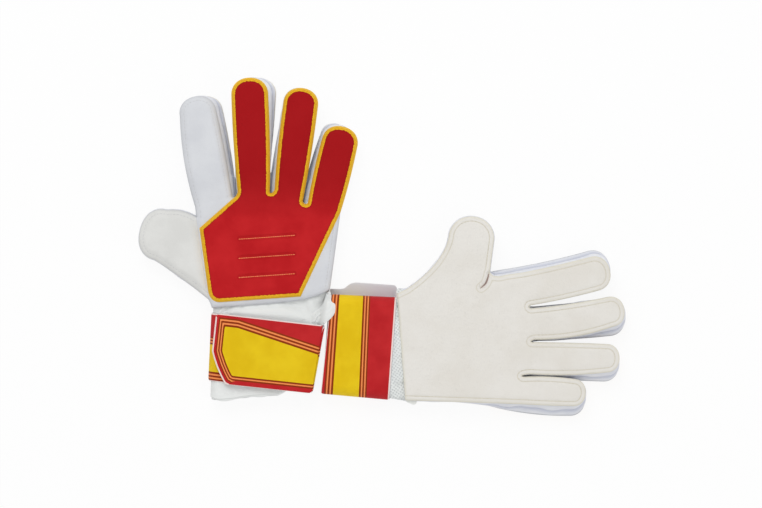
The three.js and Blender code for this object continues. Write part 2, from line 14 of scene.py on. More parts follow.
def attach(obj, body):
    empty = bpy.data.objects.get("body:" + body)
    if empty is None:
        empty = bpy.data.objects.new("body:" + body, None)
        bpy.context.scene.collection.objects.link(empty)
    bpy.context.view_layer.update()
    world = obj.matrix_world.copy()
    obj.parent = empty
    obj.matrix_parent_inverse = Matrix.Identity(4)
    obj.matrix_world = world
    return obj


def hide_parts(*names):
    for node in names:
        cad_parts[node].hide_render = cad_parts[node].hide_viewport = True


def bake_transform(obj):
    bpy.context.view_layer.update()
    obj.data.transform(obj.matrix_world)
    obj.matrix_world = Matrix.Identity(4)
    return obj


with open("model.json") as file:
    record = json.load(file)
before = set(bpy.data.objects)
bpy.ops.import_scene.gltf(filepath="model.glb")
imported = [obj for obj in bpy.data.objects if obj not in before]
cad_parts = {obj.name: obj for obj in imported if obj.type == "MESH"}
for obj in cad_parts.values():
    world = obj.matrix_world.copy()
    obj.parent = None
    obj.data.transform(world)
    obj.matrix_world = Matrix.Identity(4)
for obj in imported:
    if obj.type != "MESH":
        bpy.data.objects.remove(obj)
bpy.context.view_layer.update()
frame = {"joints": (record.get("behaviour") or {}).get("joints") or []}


# The studio: a pale sweep of paper on a table with the camera looking straight down at the pair through
# a long lens. The paper shows white to the camera and keeps the soft shadow under the gloves.
class Value:
    """A socket of a material's tree, on which sums add Math nodes."""

    def __init__(self, finish, socket):
        self.finish = finish
        self.socket = socket

    def maths(self, operation, *terms):
        return self.finish.node("Math", {"operation": operation}, dict(enumerate(terms)))

    def __add__(self, other):
        return self.maths("ADD", self, other)

    def __radd__(self, other):
        return self.maths("ADD", other, self)

    def __sub__(self, other):
        return self.maths("SUBTRACT", self, other)

    def __rsub__(self, other):
        return self.maths("SUBTRACT", other, self)

    def __mul__(self, other):
        return self.maths("MULTIPLY", self, other)

    def __rmul__(self, other):
        return self.maths("MULTIPLY", other, self)

    def __gt__(self, other):
        return self.maths("GREATER_THAN", self, other)

    def __lt__(self, other):
        return self.maths("LESS_THAN", self, other)

    def smooth(self, low, high):
        """From 0 at low to 1 at high."""
        ranged = {"Value": self, "From Min": low, "From Max": high}
        return self.finish.node("MapRange", {"interpolation_type": "SMOOTHSTEP"}, ranged)

    def mix(self, without, wholly):
        """The colour without at 0 and the colour wholly at 1."""
        colours = {"Factor": self, "A": without, "B": wholly}
        return self.finish.node("Mix", {"data_type": "RGBA"}, colours, "Result")


def colour(red, green, blue):
    """A colour given as on a screen, from 0 to 255."""
    linear = [c / 255 / 12.92 if c < 11 else ((c / 255 + 0.055) / 1.055) ** 2.4 for c in (red, green, blue)]
    return (*linear, 1.0)


class Finish:
    """A material while its nodes are laid out."""

    def __init__(self, name):
        self.material = bpy.data.materials.new(name)
        self.material.use_nodes = True
        self.tree = self.material.node_tree
        self.shader = self.tree.nodes["Principled BSDF"]
        self.end = self.tree.nodes["Material Output"]
        self.place = self.node("TexCoord", out="Object")

    def node(self, kind, settings=None, sockets=None, out=0):
        made = self.tree.nodes.new("ShaderNode" + kind)
        for key, value in (settings or {}).items():
            setattr(made, key, value)
        for key, value in (sockets or {}).items():
            self.put(self.socket(made, key), value)
        outputs = [o for o in made.outputs if o.enabled]
        found = outputs[out] if isinstance(out, int) else next(o for o in outputs if o.name == out)
        return Value(self, found)

    def socket(self, made, key):
        if isinstance(key, int):
            return made.inputs[key]
        return next(s for s in made.inputs if s.name == key and s.enabled)

    def put(self, socket, value):
        if isinstance(value, Value):
            self.tree.links.new(value.socket, socket)
        else:
            socket.default_value = value

    def wear(self, **values):
        """Sets sockets of the shader, named with an underscore for a space."""
        for key, value in values.items():
            self.put(self.shader.inputs[key.replace("_", " ")], value)

    def noise(self, size, detail=2.0, roughness=0.5, place=None):
        """Cloudy variation from 0 to 1 whose patches are size metres across."""
        sockets = {"Vector": place or self.place, "Scale": 1 / size, "Detail": detail, "Roughness": roughness}
        return self.node("TexNoise", {"noise_dimensions": "3D"}, sockets, "Fac")

    def stretched(self, size):
        """Object coordinates counted in units of size metres along each axis."""
        return self.node("Mapping", {}, {"Vector": self.place, "Scale": tuple(1 / s for s in size)})

    def attribute(self, name):
        return self.node("Attribute", {"attribute_name": name}, {}, "Fac")

    def bumps(self, *heights):
        """Bump nodes in a row, each a height from 0 to 1 and its depth in metres."""
        normal = None
        for height, depth in heights:
            sockets = {"Height": height, "Distance": depth, "Strength": 1.0}
            if normal:
                sockets["Normal"] = normal
            normal = self.node("Bump", {}, sockets)
        self.wear(Normal=normal)


PAPER = colour(250, 250, 250)
PIXEL = 0.00068  # metres of the table in one pixel of the photograph
PHOTO_WIDE = 762
LENS = 200
SENSOR = 36
MIDDLE = (-0.0023, -0.0048)  # what the middle of the photograph looks at
MIDDLE_HIGH = 0.010

camera_data = bpy.data.cameras.new("camera")
camera_data.lens = LENS
camera_data.sensor_width = SENSOR
camera_data.clip_end = 20
camera = bpy.data.objects.new("camera", camera_data)
camera.location = (*MIDDLE, MIDDLE_HIGH + PIXEL * PHOTO_WIDE * LENS / SENSOR)
bpy.context.scene.collection.objects.link(camera)
bpy.context.scene.camera = camera

floor_mesh = bpy.data.meshes.new("paper")
reach = 4.0
floor_mesh.from_pydata([(-reach, -reach, -0.0004), (reach, -reach, -0.0004), (reach, reach, -0.0004),
                        (-reach, reach, -0.0004)], [], [(0, 1, 2, 3)])
floor = bpy.data.objects.new("paper", floor_mesh)
bpy.context.scene.collection.objects.link(floor)
paper = Finish("paper")
paper.wear(Base_Color=PAPER, Roughness=0.9)
camera_ray, glossy_ray, glass_ray = (paper.node("LightPath", out=f"Is {kind} Ray")
                                     for kind in ("Camera", "Glossy", "Transmission"))
seen = (camera_ray + glossy_ray + glass_ray) * 0.9
glow = paper.node("Emission", {}, {"Color": (1, 1, 1, 1), "Strength": 1.0})
shown = paper.node("MixShader", {}, {0: seen, 1: Value(paper, paper.shader.outputs[0]), 2: glow})
paper.put(paper.end.inputs["Surface"], shown)
floor_mesh.materials.append(paper.material)

world = bpy.data.worlds.new("studio")
world.use_nodes = True
world.node_tree.nodes["Background"].inputs["Color"].default_value = (1, 1, 1, 1)
world.node_tree.nodes["Background"].inputs["Strength"].default_value = 0.67
bpy.context.scene.world = world
bpy.context.scene.view_settings.view_transform = "Standard"


def lamp(name, energy, size, place):
    data = bpy.data.lights.new(name, "AREA")
    data.energy = energy
    data.size = size
    made = bpy.data.objects.new(name, data)
    made.location = place
    made.rotation_euler = (-Vector(place)).to_track_quat("-Z", "Y").to_euler()
    bpy.context.scene.collection.objects.link(made)


lamp("softbox_over_fingertips", 9.6, 0.9, (-0.35, 1.0, 1.5))
lamp("softbox_low", 3.8, 1.2, (1.1, -0.8, 1.3))


# The palm: one sheet of 4 mm natural latex foam on a thin backing, die cut with all its digits, whose raw
# edge is a little rounded. It is sewn to the gussets 3 mm from its edge, round the crotches of the fingers.
FINGERS = {
    "index": {"pitch": (24, 27), "knuckle": 85, "length": 58},
    "middle": {"pitch": (23, 24.5), "knuckle": 89.5, "length": 65},
    "ring": {"pitch": (23.4, 23), "knuckle": 88.5, "length": 59.5},
    "little": {"pitch": (18.8, 24.4), "knuckle": 82, "length": 43.2},
}
FINGER_CAP = 0.46
FINGER_SQUARE = 2.15
FINGER_BOW = 0.6
THUMB = {
    "right": {"tip": (-89.2, 51.2), "turn": 76, "width": 35, "cap": 14.5, "square": 2.25, "bow_web": 1.8,
              "bow_foot": -0.6, "foot": (-42.5, 4.0)},
    "left": {"tip": (-88.8, 48.3), "turn": 87, "width": 31, "cap": 15, "square": 2.05, "bow_web": 0,
             "bow_foot": -5.2, "foot": (-39.6, 3.6)},
}
SEAM = {  # the wrist seam from its thumb end, in the palm and in the back
    "right": (((-40, -2), (36, 4)),
              ((-40, -2), (-21.8, -0.7), (-2, 0.8), (12, 2.2), (22.4, 3.6), (32.6, 6.6), (39.8, 10.4))),
    "left": (((-36.4, -3), (36, 2.6)), ((-40, -2), (36.8, 3.4))),
}
OUTER = {"right": ((35.4, 38), (44.2, 42)), "left": ((37.2, 38), (35.2, 43))}  # the little-finger side half way up
WEB = np.array((-51.0, 60.0))
WEB_TURN = ((-49.4, 72.0), (-48.1, 66.0), (-48.6, 61.9))  # how the palm's edge runs from the index finger to the web
THUMB_FOOT = np.array((-42.5, 4.0))
SLIT_RISE = {"middle": (4.2, 2.6), "ring": (0, 4.2), "index": (2.6, 0)}  # of the back's slits, at a digit's two feet
KNUCKLES_LEFT = (-51.3, -52.5)
BACK_SLIT = 15.5
SLIT = (1.6, 2.6)
HINGE_TURN = {
    "right": {"index": 11, "middle": -5, "ring": -10, "little": -18},
    "left": {"index": 13, "middle": 6, "ring": -1, "little": -6.5},
}
PALM, BACK = 0, 1
LIE = {  # how the fingers lie, in the palm and in the back
    "right": {
        "slip": (3, 1),
        "index": {"turn": (11, 11), "tip": (24, 25), "foot": (0, 1.8), "bow": ((0.6, 0.6), (0.6, 2.2))},
        "middle": {"turn": (-5, 2), "tip": (22, 25.0)},
        "ring": {"turn": (-10, -7.6), "tip": (20.5, 23.6)},
        "little": {"turn": (-18, -14.4), "tip": (18, 24.6), "foot": (0, 1.4), "longer": (0, -2.3)},
    },
    "left": {
        "slip": (0, -1.5),
        "index": {"turn": (13, 11.9), "tip": (23.6, 25), "foot": (0.6, 0), "bow": ((0.6, -0.4), (0.6, -1.0))},
        "middle": {"turn": (9, 3.9), "tip": (20.6, 23.8), "bow": ((2.4, -0.8), (0.9, 0.3)), "longer": (-2.4, -2.2)},
        "ring": {"turn": (0, -3), "tip": (19.4, 22.3), "bow": ((1.2, 0.2), (0.6, 0.6))},
        "little": {"turn": (-3.6, -3.5), "tip": (18.6, 22.5), "foot": (1.6, -1.9), "bow": ((0.2, 0.8), (1.5, 0.6))},
    },
}
TOP = 19.3
CUT_STEP = 1.15  # between points along a cut edge
BEND_RUN = (-14.0, 12.0)  # from a finger's hinge, where the foam starts and ends to bend
THUMB_RUN = (0.0, 24.0)
PALM_THICK = 4.0
PALM_ROUND = 1.3
SEW_IN = 3.2  # from the cut edge to the seam
CREASE = ((-50.4, 59.4), (-46.6, 58.5), (-43.0, 56.9), (-40.4, 54.0))  # the slit between the thumb and the palm


def heading(turn):
    return np.array((-math.sin(math.radians(turn)), math.cos(math.radians(turn))))


def across(turn):
    return np.array((math.cos(math.radians(turn)), math.sin(math.radians(turn))))


def spaced(points, step=CUT_STEP):
    """The same line with points about step apart."""
    points = np.asarray(points, float)
    walked = np.concatenate([[0], np.cumsum(np.linalg.norm(np.diff(points, axis=0), axis=1))])
    count = max(1, round(walked[-1] / step))
    at = np.linspace(0, walked[-1], count + 1)
    return np.stack([np.interp(at, walked, points[:, k]) for k in range(points.shape[1])], axis=1)


def bent_side(a, b, sideways, bow):
    """A slightly swollen side from a to b."""
    control = (a + b) / 2 + sideways * 2 * bow
    t = np.linspace(0, 1, 40)[:, None]
    return (1 - t) ** 2 * a + 2 * t * (1 - t) * control + t**2 * b


def joined(*lines):
    """One line from lines that follow each other, without its repeated points."""
    points = np.concatenate([np.asarray(line, float) for line in lines])
    apart = np.linalg.norm(np.diff(points, axis=0), axis=1) > 0.02
    return points[np.concatenate([[True], apart])]


class Digit:
    """The plan of one digit in one layer: its right side, round end and left side."""

    def __init__(self, right, left, tip, turn, width, cap, square, bow_right, bow_left):
        middle = tip - heading(turn) * cap
        shoulders = [middle + across(turn) * side * width / 2 for side in (1, -1)]
        angle = np.linspace(0, math.pi, 60)[:, None]
        reach = np.sign(np.cos(angle)) * np.abs(np.cos(angle)) ** (2 / square) * width / 2
        ahead = cap * np.abs(np.sin(angle)) ** (2 / square)
        self.right = bent_side(right, shoulders[0], across(turn), bow_right)
        self.round = middle + across(turn) * reach + heading(turn) * ahead
        self.left = bent_side(shoulders[1], left, across(turn), -bow_left)
        self.feet = (right, left)
        self.outline = spaced(joined(self.right, self.round, self.left))


def crotch(left_foot, right_foot, up):
    """The round bottom of a slit, in its two halves."""
    middle = (left_foot + right_foot) / 2
    arm = left_foot - middle
    down = -up * np.linalg.norm(arm)
    t = np.linspace(0, math.pi, 9)[:, None]
    arc = middle + arm * np.cos(t) + down * np.sin(t)
    return arc[:5], arc[4:]


def split_at(line, length):
    """A line cut in two at a length from its start."""
    line = np.asarray(line, float)
    walked = np.concatenate([[0], np.cumsum(np.linalg.norm(np.diff(line, axis=0), axis=1))])
    if length < 0:
        length += walked[-1]
    cut = np.array([np.interp(length, walked, line[:, k]) for k in range(2)])
    return joined(line[walked < length], [cut]), joined([cut], line[walked > length])


def curved(corners, step, is_closed):
    """A smooth line through corners."""
    corners = np.array(corners, float)
    padded = np.concatenate([corners[-1:], corners, corners[:2]]) if is_closed else np.concatenate(
        [2 * corners[:1] - corners[1:2], corners, 2 * corners[-1:] - corners[-2:-1]])
    found = []
    t = np.linspace(0, 1, 14)[:-1, None]
    for before, a, b, after in zip(padded, padded[1:], padded[2:], padded[3:]):
        found.append(0.5 * (2 * a + (b - before) * t + (2 * before - 5 * a + 4 * b - after) * t**2
                            + (3 * a - before - 3 * b + after) * t**3))
    found.append(corners[:1] if is_closed else corners[-1:])
    return spaced(np.concatenate(found), step)


def distance(points, lines):
    """From each point to the nearest of some lines, and which way it is from there."""
    best = np.full(len(points), 1e9)
    for line in lines:
        a, b = line[:-1], line[1:]
        run = b - a
        square = np.maximum((run**2).sum(1), 1e-12)
        for start in range(0, len(points), 4000):
            p = points[start:start + 4000, None, :]
            t = np.clip(((p - a) * run).sum(2) / square, 0, 1)
            gap = np.sqrt((((a + t[..., None] * run) - p) ** 2).sum(2)).min(1)
            best[start:start + 4000] = np.minimum(best[start:start + 4000], gap)
    return best


def inside(points, loop):
    """Which points lie within a closed loop."""
    a, b = loop, np.roll(loop, -1, axis=0)
    found = np.zeros(len(points), bool)
    for start in range(0, len(points), 4000):
        p = points[start:start + 4000]
        x, y = p[:, 0:1], p[:, 1:2]
        spans = (a[:, 1] > y) != (b[:, 1] > y)
        rise = np.where(b[:, 1] == a[:, 1], 1e-12, b[:, 1] - a[:, 1])
        crossing = a[:, 0] + (y - a[:, 1]) * (b[:, 0] - a[:, 0]) / rise
        found[start:start + 4000] = ((spans & (x < crossing)).sum(1) % 2).astype(bool)
    return found


class Layer:
    """The plan of the palm or the back of one glove, and the parts that its digits take of it."""

    def __init__(self, side, which):
        lie = LIE[side]
        self.which = which
        edge = KNUCKLES_LEFT[which] + lie["slip"][which]
        self.digits = {}
        self.ups = {}
        for name, finger in FINGERS.items():
            pitch = finger["pitch"][which]
            own = {"foot": (0, 0), "longer": (0, 0), "bow": ((FINGER_BOW, FINGER_BOW),) * 2, **lie[name]}
            start = np.array((edge + pitch / 2, finger["knuckle"] - which * BACK_SLIT))
            half = (pitch - SLIT[which]) / 2
            hinge, turn, width = HINGE_TURN[side][name], own["turn"][which], own["tip"][which]
            tip = start + heading(turn) * (finger["length"] + which * BACK_SLIT + own["longer"][which])
            rise = SLIT_RISE.get(name, (0, 0)) if which == BACK else (0, 0)
            right = start + across(hinge) * (half + (name == "little") * own["foot"][which])
            left = start - across(hinge) * (half + (name == "index") * own["foot"][which])
            up = heading(hinge)
            self.digits[name] = Digit(right + up * rise[0], left + up * rise[1], tip, turn, width,
                                      FINGER_CAP * width, FINGER_SQUARE, *own["bow"][which])
            self.ups[name] = up
            edge += pitch
        thumb = THUMB[side]
        thumb_foot = np.array(thumb["foot"])
        self.thumb = Digit(WEB, thumb_foot, np.array(thumb["tip"]), thumb["turn"], thumb["width"], thumb["cap"],
                           thumb["square"], thumb["bow_web"], thumb["bow_foot"])
        little, index = self.digits["little"], self.digits["index"]
        t = np.linspace(0, 1, 60)[:, None]
        seam = np.array(SEAM[side][which], float)
        foot, middle = seam[-1], np.array(OUTER[side][which], float)
        outer = (1 - t) ** 2 * foot + 2 * t * (1 - t) * middle + t**2 * little.feet[0]
        self.seam = spaced(seam)
        self.outer = spaced(outer)
        turned = WEB_TURN if which == PALM and side == "left" else ()
        self.index_side = spaced([index.feet[1], *turned, WEB])
        self.thumb_line = spaced([WEB, thumb_foot])
        self.heel = spaced([thumb_foot, seam[0]])
        names = list(FINGERS)[::-1]
        self.crotches = {}
        self.crotch_feet = {}
        for first, second in zip(names, names[1:]):
            up = self.ups[first] + self.ups[second]
            up = up / np.linalg.norm(up)
            halves = crotch(self.digits[first].feet[1], self.digits[second].feet[0], up)
            self.crotches[first] = (*halves, up)
        self.parts = self.cut_parts(names)
        free = [self.outer, self.index_side, self.heel]
        free += [d.outline for d in self.digits.values()]
        free += [np.concatenate(c[:2]) for c in self.crotches.values()]
        self.thumb_free = [self.thumb.outline]
        self.sewn = free + self.thumb_free + [curved(CREASE, 0.7, False)]
        self.free = free + [self.seam]

    def cut_parts(self, names):
        """Closed loops of the hand and each digit, and the free part of each loop."""
        if self.which == BACK:
            hand = [self.seam, self.outer]
            for name in names:
                digit = self.digits[name]
                hand.append(spaced([digit.feet[0], digit.feet[1]]))
                if name in self.crotches:
                    hand.extend(self.crotches[name][:2])
            hand.extend([self.index_side, self.thumb_line, self.heel])
            parts = {"hand": joined(*hand)[:-1]}
            for name in names:
                digit = self.digits[name]
                parts[name] = joined(digit.outline, spaced([digit.feet[1], digit.feet[0]]))[:-1]
        else:
            low, high = split_at(self.outer, -BACK_SLIT)
            self.outer_low = spaced(low)
            starts = [joined(spaced(high))]
            feet = [self.outer_low[-1]]
            sewn = high
            for name in names[:-1]:
                first, second, up = self.crotches[name]
                bottom = first[-1]
                foot = bottom - up * BACK_SLIT
                feet.append(foot)
                side = spaced([bottom, foot])
                self.crotch_feet[name] = foot
                digit = self.digits[name]
                digit.before, digit.after = starts[-1], joined(first, side)
                digit.run = joined(digit.before, digit.outline, digit.after)
                digit.sewn = joined(sewn, digit.outline, first)
                sewn = second
                starts.append(joined(side[::-1], second))
            high, low = split_at(self.index_side, BACK_SLIT)
            index = self.digits["index"]
            index.before, index.after = starts[-1], spaced(high)
            index.run = joined(index.before, index.outline, index.after)
            index.sewn = joined(sewn, index.outline, index.after)
            self.index_low = spaced(low)
            feet.append(self.index_low[0])
            cuts = {name: spaced([feet[k], feet[k + 1]]) for k, name in enumerate(names)}
            hand = [self.seam, self.outer_low, *cuts.values(), self.index_low, self.thumb_line, self.heel]
            parts = {"hand": joined(*hand)[:-1]}
            for name in names:
                parts[name] = joined(self.digits[name].run, cuts[name][::-1])[:-1]
        parts["thumb"] = joined(self.thumb.outline, self.thumb_line[::-1])[:-1]
        return parts


class Glove:
    """One glove's place on the table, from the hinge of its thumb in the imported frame."""

    def __init__(self, side):
        self.side = side
        self.left = side == "left"
        hinges = {j["child"]: j["pos_m"] for j in frame["joints"]}
        u, v = (WEB + THUMB_FOOT) / 2
        x, y = (1000 * c for c in hinges[f"{side}_thumb"][:2])
        self.shift = (x - v, y + u) if self.left else (x - u, y - v)
        self.layers = {PALM: Layer(side, PALM), BACK: Layer(side, BACK)}
        self.hinges = {}
        for name in FINGERS:
            digit = self.layers[PALM].digits[name]
            self.hinges[name] = ((digit.feet[0] + digit.feet[1]) / 2, self.layers[PALM].ups[name], BEND_RUN)
        line = (WEB - THUMB_FOOT) / np.linalg.norm(WEB - THUMB_FOOT)
        self.hinges["thumb"] = ((WEB + THUMB_FOOT) / 2, np.array((-line[1], line[0])), THUMB_RUN)

    def place(self, points):
        """Millimetres in the glove's own frame as metres on the table."""
        points = np.asarray(points, float)
        u, v, z = points[:, 0], points[:, 1], points[:, 2]
        if self.left:
            return np.stack([v + self.shift[0], self.shift[1] - u, TOP - z], 1) / 1000
        return np.stack([u + self.shift[0], v + self.shift[1], z], 1) / 1000

    def direct(self, vectors):
        """The same for directions."""
        vectors = np.asarray(vectors, float)
        if self.left:
            return np.stack([vectors[:, 1], -vectors[:, 0], -vectors[:, 2]], 1)
        return vectors


def make_piece(glove, name, points, faces, finish, smooth=True, sharp=50, **attributes):
    """A mesh object in the row frame, with a value at each point for each attribute."""
    mesh = bpy.data.meshes.new(name)
    faces = [tuple(int(i) for i in face) for face in faces]
    if glove.left:
        faces = [face[::-1] for face in faces]
    mesh.from_pydata(glove.place(points).tolist(), [], faces)
    for key, values in attributes.items():
        made = mesh.attributes.new(key, "FLOAT", "POINT")
        made.data.foreach_set("value", np.asarray(values, np.float32))
    mesh.materials.append(finish)
    if smooth:
        mesh.shade_smooth()
        mesh.set_sharp_from_angle(angle=math.radians(sharp))
    piece = bpy.data.objects.new(name, mesh)
    bpy.context.scene.collection.objects.link(piece)
    return piece


def carry(glove, piece, part):
    """Fixes a piece to the hand; a digit's piece only has its transform baked into its mesh."""
    if part not in glove.hinges:
        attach(piece, "gloves")
        return
    middle, up, run = glove.hinges[part]
    ends = [np.append(middle + up * along, 0) for along in run]
    start, end = (Vector(p) for p in glove.place(ends))
    end.z = start.z = 0
    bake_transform(piece)


def grid_within(loop, rings, step, also=()):
    """Points for a smooth surface within a loop: along its edges at some distances in, then evenly."""
    run = np.roll(loop, -1, axis=0) - np.roll(loop, 1, axis=0)
    inward = np.stack([-run[:, 1], run[:, 0]], 1) / np.maximum(np.linalg.norm(run, axis=1), 1e-9)[:, None]
    found = []
    for gap in rings:
        ring = loop + inward * gap
        found.append(ring[(distance(ring, [closed(loop)]) > 0.9 * gap) & inside(ring, loop)])
    low, high = loop.min(0), loop.max(0)
    rows = np.arange(low[1], high[1], step * math.sqrt(3) / 2)
    for k, y in enumerate(rows):
        x = np.arange(low[0] + (k % 2) * step / 2, high[0], step)
        found.append(np.stack([x, np.full(len(x), y)], 1))
    last = np.concatenate(found[len(rings):])
    keep = inside(last, loop)
    last = last[keep]
    last = last[distance(last, [closed(loop)]) > rings[-1] + 0.55 * step]
    extra = [np.asarray(a, float) for a in also]
    if extra:
        extra = np.concatenate(extra)
        extra = extra[inside(extra, loop)]
        extra = extra[distance(extra, [closed(loop)]) > 0.5]
        last = last[distance(last, [joined_pairs(extra)]) > 0.45 * step] if len(extra) > 1 else last
        found = found[:len(rings)] + [extra]
    else:
        found = found[:len(rings)]
    return np.concatenate([*found, last])


def closed(loop):
    return np.concatenate([loop, loop[:1]])


def joined_pairs(points):
    """Single points as very short lines, for distance()."""
    return np.repeat(points, 2, axis=0)


def foam(loop, top, bottom, rings, step=1.5, also=()):
    """A closed sheet of foam cut to a loop, between two surfaces given as heights over the plan."""
    count = len(loop)
    edges = [(i, (i + 1) % count) for i in range(count)]
    points = []
    faces = []
    rims = []
    for surface, gaps, size, extra, up in ((top, rings, step, also, True),
                                           (bottom, rings[1::2] or rings, 1.6 * step, (), False)):
        flat = np.concatenate([loop, grid_within(loop, gaps, size, extra)])
        cut = delaunay_2d_cdt([Vector(p) for p in flat], edges, [], 1, 1e-5)
        plan = np.array([tuple(p) for p in cut[0]])
        triangles = np.array([f for f in cut[2] if len(f) == 3])
        a, b, c = plan[triangles[:, 0]], plan[triangles[:, 1]], plan[triangles[:, 2]]
        turned = (b[:, 0] - a[:, 0]) * (c[:, 1] - a[:, 1]) - (b[:, 1] - a[:, 1]) * (c[:, 0] - a[:, 0])
        if (turned.sum() > 0) != up:
            triangles = triangles[:, ::-1]
        first = sum(len(p) for p in points)
        points.append(np.column_stack([plan, surface(plan)]))
        faces.extend(map(tuple, triangles + first))
        origin = {old: new for new, olds in enumerate(cut[3]) for old in olds}
        rims.append([first + origin[i] for i in range(count)])
    upper, lower = rims
    for i in range(count):
        k = (i + 1) % count
        if upper[i] == upper[k]:
            continue
        faces.append((lower[i], lower[k], upper[k], upper[i]))
    tops = len(points[0])
    return np.concatenate(points), faces, tops


def ease(x):
    """From 0 to 1 with a flat end, as padding rises from a seam."""
    x = np.clip(x, 0, 1)
    return 1 - (1 - x) ** 2


def rounding(d, radius):
    """How far a rounded edge falls back at a distance from it."""
    x = np.clip(1 - d / radius, 0, 1)
    return radius * (1 - np.sqrt(1 - x**2))


def furrow(d, at, wide):
    """A channel pressed along a seam."""
    return np.exp(-(((d - at) / wide) ** 2))


def sway(p, size, seed):
    """Gentle unevenness between -1 and 1 of soft foam that lies by itself."""
    random = np.random.default_rng(seed)
    total = np.zeros(len(p))
    for k in range(7):
        turn = random.uniform(0, 2 * math.pi)
        wave = 2 * math.pi / (size * random.uniform(0.7, 1.6))
        total += np.sin((p[:, 0] * math.cos(turn) + p[:, 1] * math.sin(turn)) * wave + random.uniform(0, 6))
    return total / 7


def palm_outside(layer, seed):
    crease = curved(CREASE, 0.7, False)

    def height(p):
        d = np.minimum(distance(p, layer.free), distance(p, layer.thumb_free))
        z = 0.95 * rounding(d, PALM_ROUND) + 0.9 * (1 - ease(d / 8))
        z += 2.2 * furrow(distance(p, [crease]), 0, 0.8) + 0.3 * furrow(distance(p, layer.sewn), SEW_IN, 0.5)
        return np.maximum(z + 0.28 * (1 + sway(p, 34, seed)) * ease(d / 14), 0)

    return height


def palm_inside(layer):
    def height(p):
        d = np.minimum(distance(p, layer.free), distance(p, layer.thumb_free))
        return PALM_THICK - 0.5 * rounding(d, 0.8)

    return height


latex = Finish("latex_palm")
edge = latex.attribute("edge")
cloud = latex.noise(0.03, 3, 0.55)
body = cloud.smooth(0.3, 0.7).mix(colour(229, 225, 217), colour(235, 232, 226))
rim = edge.smooth(0.0020, 0.0002) * (0.2 + 0.4 * latex.noise(0.012))
aged_and_shaded = rim.mix(body, colour(226, 221, 198))
# Painted shade: a darker yellowish line laid along the furrow of the seam, SEW_IN from the cut edge.
away = latex.attribute("sewn") - SEW_IN / 1000
groove_shade = (away * away).smooth(0.00055**2, 0.0) * 0.5
aged_and_shaded = groove_shade.mix(aged_and_shaded, colour(211, 204, 184))
# Painted shade: the slit between the thumb and the palm is darkened to a deep brownish red, widest in its middle.
slit_shade = latex.attribute("crease")
aged_and_shaded = (slit_shade.smooth(0.0010, 0.0001) * 0.85).mix(aged_and_shaded, colour(156, 122, 114))
side_cut = (edge < -0.00001).mix(aged_and_shaded, colour(236, 232, 219))
pores = latex.node("TexVoronoi", {}, {"Vector": latex.place, "Scale": 1500.0}, "Distance")
latex.wear(Base_Color=side_cut, Roughness=0.72 + 0.2 * latex.noise(0.004), Sheen_Weight=0.1,
           Specular_IOR_Level=0.25)
latex.bumps((latex.noise(0.0016, 3, 0.6), 0.00022), (pores.smooth(0.0, 0.45), 0.00012))

gloves = {side: Glove(side) for side in ("right", "left")}
PALM_RINGS = (0.35, 0.8, 1.3, 2.0, 2.7, 3.2, 3.8, 4.8)
for side, glove in gloves.items():
    layer = glove.layers[PALM]
    crease = curved(CREASE, 0.7, False)
    rows_beside = [crease + np.array(by) for by in ((0, 0), (-0.15, 0.5), (0.15, -0.5), (-0.3, 1.0), (0.3, -1.0))]
    outside = palm_outside(layer, 3 if side == "left" else 8)
    for part, loop in layer.parts.items():
        points, faces, tops = foam(loop, outside, palm_inside(layer), PALM_RINGS, 1.5,
                                   rows_beside if part in ("hand", "thumb") else ())
        faces = [face[::-1] for face in faces]
        d = np.minimum(distance(points[:, :2], layer.free), distance(points[:, :2], layer.thumb_free))
        d[tops:] = np.where(d[tops:] < 0.01, -0.2, -1.0)
        # gap, given as the crease attribute, sets how far the painted shade in the slit spreads.
        gap = distance(points[:, :2], [crease]) / 1000
        gap *= 1 + 1.6 * np.clip(np.linalg.norm(points[:, :2] - crease[len(crease) // 2], axis=1) / 7, 0, 1) ** 2
        sewn = distance(points[:, :2], layer.sewn)
        piece = make_piece(glove, f"{side}_{part}_latex", points, faces, latex.material, edge=d / 1000,
                           sewn=sewn / 1000, crease=gap)
        carry(glove, piece, part)
        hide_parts(f"{side}_palm" if part == "hand" else f"{side}_{part}_palm")


# The back: soft white foam with a smooth coated face, in one piece with the backs of the fingers. Its edge
# is sewn down to the gussets, so the padding swells from the edge. The thumb's back is a piece of its own.
BACK_LOW = 12.0
EDGE_TOP = 15.2
HAND_SWELL = 2.6
FIELD_RISE = 1.5
BACK_ROUND = 0.8
RED_DIGITS = ("middle", "ring", "little")
BACK_RINGS = (0.3, 0.7, 1.2, 1.9, 2.6, 3.4, 4.4, 5.8)


def coated(name, tint, lighter):
    """A smooth coated foam face with raw foam on its cut side."""
    made = Finish(name)
    edge = made.attribute("edge")
    cloud = made.noise(0.022, 3, 0.55)
    face = cloud.smooth(0.3, 0.7).mix(tint, lighter)
    # The face turns greyer within 1.6 mm of the cut edge.
    greyed_edge = (edge.smooth(0.0016, 0.0) * 0.4).mix(face, colour(190, 192, 196))
    made.wear(Base_Color=(edge < -0.00001).mix(greyed_edge, colour(206, 208, 212)),
              Roughness=0.55 + 0.18 * made.noise(0.003), Sheen_Weight=0.05, Specular_IOR_Level=0.3)
    grain = made.node("TexVoronoi", {"feature": "F1"}, {"Vector": made.place, "Scale": 1900.0}, "Distance")
    made.bumps((made.noise(0.0045, 3, 0.6), 0.00028), (grain.smooth(0.0, 0.6), 0.00005))
    return made


white_foam = coated("white_foam", colour(213, 215, 220), colour(220, 222, 226))
thumb_foam = coated("thumb_foam", colour(220, 220, 217), colour(228, 228, 225))


def back_outside(layer, seed):
    """The padded face of the hand and fingers, without what the red field adds."""
    def height(p):
        d = distance(p, layer.free)
        line = distance(p, [layer.thumb_line])
        rise = HAND_SWELL * ease(d / 4.6) * (0.42 + 0.58 * ease(line / 4.5))
        z = EDGE_TOP - rounding(d, BACK_ROUND) + rise - 0.32 * furrow(d, SEW_IN, 0.5)
        return z + 0.22 * sway(p, 30, seed) * ease(d / 12)

    return height


